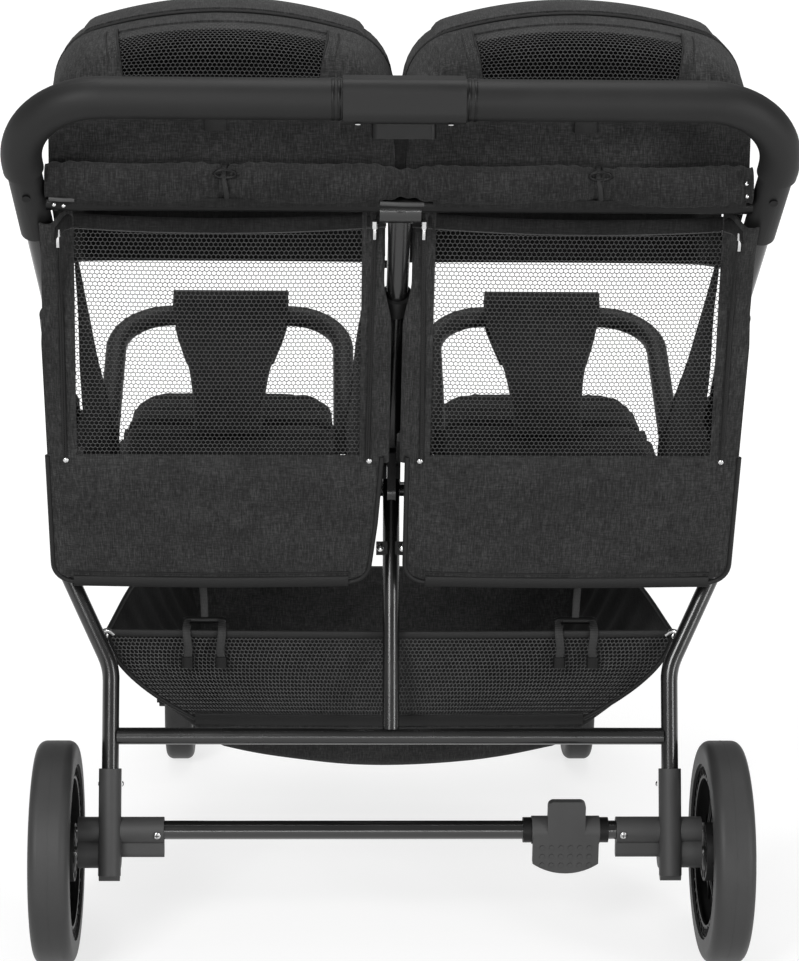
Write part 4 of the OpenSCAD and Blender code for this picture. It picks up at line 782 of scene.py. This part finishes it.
# Rear flap rolled up along the crossbar
def make_flap():
    body = "chassis"
    count, sides = 460, 48
    x = np.linspace(-340, 338, count)[:, None]
    a = np.linspace(0, 2 * math.pi, sides, endpoint=False)[None]
    pinch, pucker = np.zeros_like(x), np.zeros_like(x + a)
    for place, width, depth in ((-168, 18, 0.2), (190, 18, 0.18), (4, 22, 0.3), (-336, 16, 0.1),
                                (335, 16, 0.1)):
        pinch = pinch + depth * np.exp(-((x - place) / width) ** 2)
        near = np.exp(-np.abs(x - place) / (2.0 * width))
        pucker = pucker + 1.5 * near * np.sin((x - place) / 2.4 + 1.4 * np.sin(2 * a + place))
    folds = 1.5 * ripple(x / 190, a / 2.1, 3) + 1.1 * np.sin(2 * a + 0.9 * np.sin(x / 85))
    size = folds + pucker - 1.4 * np.clip(np.cos(a - 3.9), 0, 1) ** 10
    ry, rz = (17.0 + size) * (1 - pinch), (19.0 + size) * (1 - pinch)
    droop = 2.6 * np.sin(x / 340 * 2 * math.pi) ** 2
    p = np.stack([x + 0 * a, BAR[1] - 8 - ry * np.cos(a), BAR[2] + 22 - droop - rz * np.sin(a)], -1)
    ends = [list(reversed(range(sides))), list(range((count - 1) * sides, count * sides))]
    part = (p.reshape(-1, 3), bands(count, sides) + ends)
    # The roll takes the darker copy of the heather cloth, which is painted shade.
    obj = piece("flap_roll", part, SHADED_ROLL_CLOTH, body, replaces=["rolled_flap"])

    # Narrow hem below the roll, the ties with their rings, the metal studs at the ends and the plastic bars at
    # one end and in the middle
    rows = np.linspace(0, 1, 9)[:, None]
    xs = np.linspace(-334, 332, 220)[None]
    wave = (1.4 * np.sin(xs / 37 + np.sin(xs / 90) * 2) + 0.8 * np.sin(xs / 13)) * rows
    z = BAR[2] + 8 - 7 * rows - 2.0 * np.sin(xs / 338 * math.pi) ** 2 * rows
    gap = np.abs(xs - 4) > 24
    part = cloth(np.stack([xs + 0 * rows, BAR[1] - 19 + wave + 3 * rows, z], -1), 1.6,
                 np.repeat(gap[:, 1:] & gap[:, :-1], 8, 0))
    piece("flap_hem", part, DARK_CLOTH, body)
    loops, rings, metal = [], [], []
    t = np.linspace(0, 2 * math.pi, 40, endpoint=False)
    for place in (-168.0, 190.0):
        loop = np.stack([place + 1.5 * np.sin(2 * t), BAR[1] - 8 - 16.5 * np.cos(t),
                         BAR[2] + 21 - 17.5 * np.sin(t)], 1)
        out = np.stack([0 * t, -np.cos(t), -np.sin(t)], 1)
        loops.append(sweep(loop, flat_section(5, 1.4), out, closed=True))
        ring = np.stack([place + 10 * np.cos(t), BAR[1] - 24 - 2 * np.sin(t),
                         BAR[2] + 33 + 4.2 * np.sin(t)], 1)
        rings.append(sweep(ring, round_section(1.5, 8), (0, 1, 0), closed=True))
    piece("flap_ties", loops, BINDING, body)
    piece("flap_rings", rings, DARK_PLASTIC_AND_SHADE, body)
    for place, z in ((331.0, 860.0), (332.0, 848.0), (-331.0, 836.0), (-322.0, 835.0)):
        metal.append(turned(dome(2.2, 1.8), facing((0, -1, 0.2)), (place, BAR[1] - 22, z)))
    piece("flap_studs", metal, STEEL, body)
    bars = []
    for x0, x1, z in ((-336.0, -312.0, 841.0), (-20.0, 22.0, 838.5)):
        path = [[x0, BAR[1] - 20, z], [(x0 + x1) / 2, BAR[1] - 22, z - 0.5], [x1, BAR[1] - 20, z - 1]]
        bars.append(sweep(smooth_path(path, 12), flat_section(4, 2), (0, -1, 0)))
    piece("flap_bars", bars, GREY_PLASTIC, body)


# Seat cushions and calf rests, swollen by a cloth simulation
def inflate(obj, cap, pressure, voxel):
    """Remeshes a closed shape, swells it with cloth under pressure, and caps how far a point moves."""
    view = bpy.context.view_layer
    for o in bpy.context.selected_objects:
        o.select_set(False)
    view.objects.active = obj
    obj.select_set(True)
    mod = obj.modifiers.new("remesh", "REMESH")
    mod.mode = "VOXEL"
    mod.voxel_size = voxel
    bpy.ops.object.modifier_apply(modifier=mod.name)
    rest = np.array([v.co for v in obj.data.vertices], float)
    mod = obj.modifiers.new("cloth", "CLOTH")
    mod.settings.use_pressure = True
    mod.settings.uniform_pressure_force = pressure
    mod.settings.effector_weights.gravity = 0
    mod.settings.quality = 5
    mod.settings.tension_stiffness = 15
    mod.settings.bending_stiffness = 0.6
    scene = bpy.context.scene
    for f in range(1, 21):
        scene.frame_set(f)
    done = obj.evaluated_get(bpy.context.evaluated_depsgraph_get())
    now = np.array([v.co for v in done.data.vertices], float)
    move = now - rest
    size = np.linalg.norm(move, axis=1, keepdims=True)
    move *= np.minimum(1, cap / np.maximum(size, 1e-9))
    obj.modifiers.remove(mod)
    obj.data.vertices.foreach_set("co", (rest + move).astype(np.float32).ravel())
    scene.frame_set(1)
    obj.data.update()
    obj.data.shade_smooth()
    return obj


def block(width, depth, thick, corner, nose=0.0):
    """Rounded slab about zero, lying flat: X across, Y along. nose rounds its front corners further."""
    outline = []
    big = max(corner, nose)
    for cx, cy, a0, r in ((1, 1, 0, big), (-1, 1, 90, big), (-1, -1, 180, corner), (1, -1, 270, corner)):
        for t in np.radians(np.linspace(a0, a0 + 90, 12)):
            outline.append([cx * (width / 2 - r) + r * math.cos(t), cy * (depth / 2 - r) + r * math.sin(t)])
    outline = np.array(outline)
    n = len(outline)
    points = np.concatenate([np.c_[outline, np.full(n, -thick / 2)], np.c_[outline, np.full(n, thick / 2)]])
    faces = [[k, (k + 1) % n, n + (k + 1) % n, n + k] for k in range(n)]
    faces += [list(reversed(range(n))), [n + k for k in range(n)]]
    return points, faces


PAN_RISE = math.radians(6)
PAN_ORIGIN = np.array([0, 233.39, 449.91 + 8.3 / math.cos(PAN_RISE)])
PAN_TURN = np.array([[1, 0, 0], [0, math.cos(PAN_RISE), -math.sin(PAN_RISE)],
                     [0, math.sin(PAN_RISE), math.cos(PAN_RISE)]])


def quilt(obj, place, turn, lines, depth, width, half):
    """Presses sewn channels across the upper face of a swollen pad, after its remesh."""
    co = np.array([v.co for v in obj.data.vertices], float)
    local = (co - np.asarray(place)) @ np.asarray(turn)
    u, v = local[:, 0] / (half[0] / 1000), local[:, 1] / (half[1] / 1000)
    down = np.zeros(len(co))
    for share in lines:
        down = np.maximum(down, np.exp(-((v - share) / width) ** 2))
    fade = np.clip(1 - np.maximum(np.abs(u), np.abs(v)) ** 8, 0, 1) * (local[:, 2] > 0)
    local[:, 2] -= depth / 1000 * down * fade
    co = local @ np.asarray(turn).T + np.asarray(place)
    obj.data.vertices.foreach_set("co", co.astype(np.float32).ravel())
    obj.data.update()


def make_pad(name, side):
    place = PAN_TURN @ np.array([0, -21.0, 17.0]) + PAN_ORIGIN + [SEAT_X * side, 0, 0]
    part = turned(block(242, 252, 15, 20), PAN_TURN, place)
    obj = piece("seat_cushion_" + name, part, PAD_CLOTH, None, replaces=["seat_pad_" + name])
    inflate(obj, 0.006, 4.0, 0.005)
    quilt(obj, row([place])[0], PAN_TURN, (-0.45, 0.1, 0.6), 4.0, 0.05, (119, 126))
    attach(obj, "chassis")


def make_calf(name, side):
    place = CALF + [SEAT_X * side, 88.0, 0]
    part = turned(block(246, 150, 16, 14, 74), np.eye(3), place)
    obj = piece("calf_cushion_" + name, part, PAD_CLOTH, None, replaces=["calf_rest_" + name])
    inflate(obj, 0.007, 4.0, 0.005)
    quilt(obj, row([place])[0], np.eye(3), (-0.25, 0.35), 3.0, 0.06, (117, 74))
    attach(obj, "calf_rest_" + name)
    ends = np.array([[SEAT_X - 122, 0, 0], [SEAT_X + 122, 0, 0]]) + CALF
    parts = [sweep(ends, round_section(3.9, 14), (0, 0, 1))]
    for x0, x1 in ((-122, -106), (-90, 90), (106, 122)):
        xs = np.linspace(SEAT_X + x0, SEAT_X + x1, 12 if x1 - x0 > 50 else 4)[None]
        t = np.linspace(0, 1, 7)[:, None]
        tongue = np.stack([xs + 0 * t, CALF[1] + 2 + 18 * t + 0 * xs,
                           CALF[2] + 3.2 * np.sin(t * math.pi / 2) + 0 * xs], -1)
        parts.append(cloth(tongue, 1.8))
    piece("calf_hinge_" + name, parts, BINDING, "calf_rest_" + name, side)


# Cloth panel that wraps the bumper bar and tapers to the seat: half width, Y and Z along it
def make_crotch(name, side):
    body = "bumper_" + name
    line = smooth_path([[36, 258, 507], [38, 290, 530], [44, 330, 559], [56, 364, 586], [64, 380, 612],
                        [64, 387, 629], [64, 398, 635], [64, 409, 629], [64, 414.5, 610], [63, 411, 594],
                        [62, 398, 589.5], [58, 380, 581], [48, 350, 562]], 90)
    u = np.linspace(-1, 1, 24)[None]
    p = np.stack([SEAT_X + line[:, :1] * u, line[:, 1:2] + 0 * u, line[:, 2:] + 0 * u], -1)
    p[..., 1] += 0.8 * ripple(u * 1.5, np.linspace(0, 2, len(line))[:, None], 60 + side)
    piece("crotch_cloth_" + name, cloth(p, 1.6), DARK_CLOTH, body, side, ["crotch_panels_" + name])
    edges = [sweep(p[:, k], round_section(1.5, 7), (1, 0, 0.05)) for k in (0, -1)]
    piece("crotch_edge_" + name, edges, BINDING, body, side)


# Basket: a net panel at the rear, and a cloth base with gathered sides between the legs and the front tube
RIM_X, RIM_Y, RIM_Z, LOW_X, LOW_Y, LOW_Z = 303.0, 84.0, 335.0, 210.0, 90.0, 234.0
BASE_EDGE = smooth_path([[LOW_X, LOW_Y, LOW_Z], [196, 104, 208], [176, 130, 186], [178, 200, 176],
                         [200, 330, 190], [216, 404, 214], [234, 472, 276]], 60)
TOP_EDGE = smooth_path([[RIM_X, RIM_Y, RIM_Z], [284, 250, 333], [262, 380, 316], [238, 472, 284]], 60)


def rear_panel(u, v):
    """Point of the rear panel: u across from -1 to 1, v from the rim 0 to the lower band 1."""
    half = RIM_X - (RIM_X - LOW_X) * v ** 1.9
    bow = 5 * np.sin(math.pi * np.clip(v, 0, 1)) * (1 - u * u)
    y, z = RIM_Y + (LOW_Y - RIM_Y) * v + bow, RIM_Z + (LOW_Z - RIM_Z) * v - 2 * (1 - u * u)
    return np.stack([half * u, y, z], -1)


def hang(obj):
    """Basket cloth stays where it is drawn: its transform is baked into its mesh."""
    at(0, 380, 250)
    at(0, 100, 300)
    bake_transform(obj)


def make_basket():
    u = np.linspace(-1, 1, 80)[None]
    t = np.linspace(0, 1, 60)[:, None]
    belly = 26 * (1 - u * u) * np.sin(math.pi * t ** 0.6) ** 1.2
    p = np.stack([BASE_EDGE[:, :1] * u, BASE_EDGE[:, 1:2] + 0 * u, BASE_EDGE[:, 2:] - belly], -1)
    p[..., 2] += 1.6 * ripple(u * 2, t * 3, 77) * np.sin(math.pi * t)
    piece("basket_base", cloth(p, 2.0), HEATHER, hang, replaces=["basket"])
    drop = RIM_Z - LOW_Z
    part = net(lambda a, b: rear_panel(a / RIM_X, b / drop), (-RIM_X, RIM_X), (0, drop), (4.43, 4.4),
               lambda a, b: (np.abs(a) < RIM_X - 2) & (b > 2) & (b < drop + 2), 0.8)
    piece("basket_net", flipped(part), NET, hang)
    across = np.linspace(-1, 1, 100)
    low = rear_panel(across, np.full(100, 1.0))
    parts = [sweep(rear_panel(across, np.zeros(100)), flat_section(8, 2.6), (0, -1, 0.1)),
             sweep(low, flat_section(15, 2.6), (0, -0.9, -0.3))]
    down = np.linspace(0, 1, 40)
    for k in (-1, 1):
        parts.append(sweep(rear_panel(np.full(40, float(k)), down), round_section(2.4, 8), (0, -1, 0.2)))
        parts.append(sweep(TOP_EDGE * [k, 1, 1], round_section(2.6, 8), (k, 0, 0.3)))
    piece("basket_binding", parts, BINDING, hang)
    for name, k in SIDES.items():
        w = np.linspace(0, 1, 20)[None]
        q = BASE_EDGE[:, None] + (TOP_EDGE - BASE_EDGE)[:, None] * w[..., None]
        q[..., 0] += (20 * (1 - t) ** 2 + 6 * t + 2.5 * np.sin(t * 42)) * np.sin(math.pi * w)
        piece("basket_side_" + name, cloth(q, 1.8), DARK_CLOTH, hang, k)
    hooks = []
    for k in (-1, 1):
        path = smooth_path([[k * 296.0, 84.0, 333.0], [k * 302.0, 80.0, 339.0], [k * 309.0, 77.0, 337.0],
                            [k * 311.0, 76.0, 330.0]], 14)
        hooks.append(sweep(path, round_section(2.4, 10), (0, 0, 1)))
        hooks.append(turned(dome(4.0, 3.0), facing((k, -1, 0)), (k * 304.0, 80.0, 334.0)))
    piece("basket_hooks", hooks, STEEL, "rear_frame")


# Straps and fittings below the seats
def make_strap(name, side):
    x, y = SEAT_X + 21, 97.5
    top, bar = 441.5, 346.0
    webbing = smooth_path([[x + 8, y + 2, top], [x + 4, y + 3, 410], [x + 1, y, 376],
                           [x, y - 1, bar + 2]], 24)
    parts = [sweep(webbing, flat_section(8, 1.8), (0, -1, 0))]
    tips, studs = [], []
    for k in (-1, 1):
        drops = ((17, 0, 3), (18, 9, 2.5), (19, 17, 8), (18, 20, 18), (17, 20.5, 28), (18, 20.5, 38))
        tail = smooth_path([[x + k * a, y - b, bar - c] for a, b, c in drops], 28)
        parts.append(sweep(tail, flat_section(9, 1.4), (0, -1, 0)))
        tip = np.array([[x + k * 18, y - 20.5, bar - 36], [x + k * 18, y - 20.5, bar - 48]])
        tips.append(sweep(tip, flat_section(13, 5, 0.4), (0, -1, 0)))
        studs.append(turned(dome(2.6, 1.8), facing((0, -1, 0.1)), (x + k * 18, y - 4, bar - 2)))
    piece("strap_webbing_" + name, parts, WEBBING, "chassis", side, ["strap_fittings"] if side > 0 else [])
    path = smooth_path([[x - 21, y, bar - 3], [x - 16, y - 1, bar - 1], [x, y - 1, bar - 1],
                        [x + 16, y - 1, bar - 1], [x + 21, y, bar - 3]], 20)
    tips.append(sweep(path, flat_section(8, 7, 0.45), (0, -1, 0)))
    piece("strap_bar_" + name, tips, DARK_PLASTIC_AND_SHADE, "chassis", side)
    piece("strap_rivets_" + name, studs, STEEL, "chassis", side)


# Small fittings on the frame
def make_fittings():
    rings = []
    for side in (-1, 1):
        for x in (60.5, 66.0):
            rim = ((13, -1.6), (19.6, -1.6), (20, -1), (20, 1), (19.6, 1.6), (13, 1.6))
            prof = [(r, x + d) for r, d in rim]
            rings.append(mirrored(lathe(prof, (0, HANDLE[1], HANDLE[2])), side))
    piece("grip_rings", rings, DARK_PLASTIC_AND_SHADE, "chassis")
    screws = [screw((x, HANDLE[1] - 14, HANDLE[2] - 21), (0, -0.3, -1), 3.0) for x in (-43, 43)]
    heads, recess_shades = map(list, zip(*screws))
    piece("housing_screws", heads, STEEL, "chassis")
    # Dark bars in the housing screws' crosses: painted shade in the recesses.
    piece("housing_screw_recess_shade", recess_shades, DARK_PLASTIC_AND_SHADE, "chassis")
    heads, recess_shades = [], []
    for side in (-1, 1):
        fixings = [((side * 247.0, AXLE[1] - 14.6, AXLE[2]), (0, -1, 0), 4.2)]
        fixings += [((side * 297.0 + k * 12, 24.0, 186.0), (k, 0, 0), 3.2) for k in (-1, 1)]
        for place, direction, r in fixings:
            h, s = screw(place, direction, r)
            heads.append(h)
            recess_shades.append(s)
    block_at = np.array([0, 103.5, 423.9]) + POST_OUT * 9
    heads += [turned(dome(4.6, 2.6), facing(POST_OUT), block_at + [x, 0, 0]) for x in (-12, 12)]
    piece("frame_screws", heads, STEEL, "rear_frame")
    # Dark bars in the frame screws' crosses: painted shade in the recesses.
    piece("frame_screw_recess_shade", recess_shades, DARK_PLASTIC_AND_SHADE, "rear_frame")


def make_wheels():
    x, z = WHEEL[0], WHEEL[2]
    for name, side in SIDES.items():
        ribs = []
        for k in range(40):
            c = np.array([0, math.cos(2 * math.pi * k / 40), math.sin(2 * math.pi * k / 40)])
            for face in (-1, 1):
                a = np.array([x + face * 17.4, 0, z])
                ribs.append(sweep(np.array([a + c * 80, a + c * 92]), flat_section(2.2, 2.0, 0.4), (1, 0, 0)))
        for face in (-1, 1):
            near, far = x + face * 15, x + face * 17.6
            prof = [(78, near), (78, far), (80, x + face * 18.2), (82, far), (82, near)]
            ribs.append(lathe(prof, (0, 0, z), 72))
            prof = [(90.5, near + face), (90.5, far + face), (92.6, far + face), (92.6, near + face)]
            ribs.append(lathe(prof, (0, 0, z), 72))
        for k in range(6):
            t = 2 * math.pi * (k + 0.5) / 6
            c = np.array([0, math.sin(t), math.cos(t)])
            for face in (-1, 1):
                a, b = np.array([x + face * 3.4, 0, z]), np.array([x + face * 12.0, 0, z])
                spoke = np.array([b + c * 30, (a + b) / 2 + c * 55, a + c * 88])
                ribs.append(sweep(spoke, flat_section(4.5, 3.4, 0.4), (1, 0, 0)))
        piece("rim_ribs_" + name, ribs, DARK_PLASTIC_AND_SHADE, "rear_wheel_" + name, side)
        prof = [(117.0, x - 0.9), (118.15, x - 0.6), (118.15, x + 0.6), (117.0, x + 0.9)]
        piece("tyre_seam_" + name, lathe(prof, (0, 0, z), 96), TYRE, "rear_wheel_" + name, side)


for side_name, side_sign in SIDES.items():
    for make in (make_back, make_wings, make_rear_canopy, make_front_canopy, make_pad, make_calf, make_crotch,
                 make_strap):
        make(side_name, side_sign)
make_flap()
make_basket()
make_fittings()
make_wheels()


# Floor, light and camera
def seen_by(tree, kinds):
    """Socket that is 1 for rays of these kinds."""
    info = add(tree, "LightPath")
    total = info.outputs[kinds[0]]
    for kind in kinds[1:]:
        total = math_node(tree, "MAXIMUM", total, info.outputs[kind])
    return total


floor_mesh = bpy.data.meshes.new("floor")
floor_mesh.from_pydata([(-30, -30, 0), (30, -30, 0), (30, 30, 0), (-30, 30, 0)], [], [(0, 1, 2, 3)])
floor = bpy.data.objects.new("floor", floor_mesh)
bpy.context.collection.objects.link(floor)
floor_mat = bpy.data.materials.new("studio_floor")
floor_mat.use_nodes = True
tree = floor_mat.node_tree
base = tree.nodes["Principled BSDF"]
put(base.inputs, {"Base Color": (0.36, 0.36, 0.36, 1), "Roughness": 0.9, "Specular IOR Level": 0.0})
shown = seen_by(tree, ("Is Camera Ray", "Is Glossy Ray", "Is Transmission Ray"))
far = add(tree, "VectorMath", None, {0: add(tree, "NewGeometry").outputs["Position"]})
far.operation = "LENGTH"
fade = add(tree, "MapRange", {"From Min": 0.5, "From Max": 2.2, "To Min": 0.72, "To Max": 0.97},
           {"Value": far.outputs["Value"]})
strength = math_node(tree, "MULTIPLY", shown, fade.outputs["Result"])
glow = add(tree, "Emission", None, {"Strength": strength})
both = add(tree, "AddShader", None, {0: base.outputs[0], 1: glow.outputs[0]})
tree.links.new(both.outputs[0], tree.nodes["Material Output"].inputs["Surface"])
floor_mesh.materials.append(floor_mat)

scene = bpy.context.scene
world = bpy.data.worlds.new("studio")
scene.world = world
world.use_nodes = True
tree = world.node_tree
level = add(tree, "MapRange", {"To Min": 0.34, "To Max": 1.0},
            {"Value": seen_by(tree, ("Is Camera Ray", "Is Transmission Ray"))})
put(tree.nodes["Background"].inputs, {"Color": (1, 1, 1, 1)})
tree.links.new(level.outputs["Result"], tree.nodes["Background"].inputs["Strength"])


def lamp(name, place, target, size, watts):
    data = bpy.data.lights.new(name, "AREA")
    data.shape = "RECTANGLE"
    data.size, data.size_y = size
    data.energy = watts
    obj = bpy.data.objects.new(name, data)
    obj.location = place
    obj.rotation_euler = (Vector(target) - Vector(place)).to_track_quat("-Z", "Y").to_euler()
    bpy.context.collection.objects.link(obj)


lamp("key", (-1.6, -3.2, 2.4), (0, 0, 0.5), (1.2, 1.6), 90)
lamp("fill", (2.6, -2.4, 1.2), (0, 0, 0.4), (0.7, 2.0), 45)
lamp("strip", (0, -4.2, 0.7), (0, 0, 0.4), (3.6, 0.3), 34)
lamp("top", (0, 0.2, 3.4), (0, 0, 0.5), (2.0, 2.0), 45)

# Camera fitted to the photograph: angles in radians, focal length and height of the picture in pixels
yaw, pitch, roll = -0.0317, 0.2982, 0.0124
FOCAL, PICTURE_HEIGHT, SENSOR = 2828.88, 961, 36.0
flat_right = Vector((math.cos(yaw), math.sin(yaw), 0))
flat_ahead = Vector((-math.sin(yaw), math.cos(yaw), 0))
up_axis = Vector((0, 0, 1))
ahead = math.cos(pitch) * flat_ahead - math.sin(pitch) * up_axis
tilt_up = math.sin(pitch) * flat_ahead + math.cos(pitch) * up_axis
right = math.cos(roll) * flat_right + math.sin(roll) * tilt_up
upward = -math.sin(roll) * flat_right + math.cos(roll) * tilt_up
cam_data = bpy.data.cameras.new("camera")
cam_data.sensor_fit = "VERTICAL"
cam_data.sensor_height = SENSOR
cam_data.lens = SENSOR * FOCAL / PICTURE_HEIGHT
camera = bpy.data.objects.new("camera", cam_data)
turn = Matrix((right, upward, -ahead)).transposed().to_4x4()
camera.matrix_world = Matrix.Translation(Vector(at(-82.7247, -2761.3753, 1380.6627))) @ turn
bpy.context.collection.objects.link(camera)
scene.camera = camera
scene.view_settings.view_transform = "Standard"
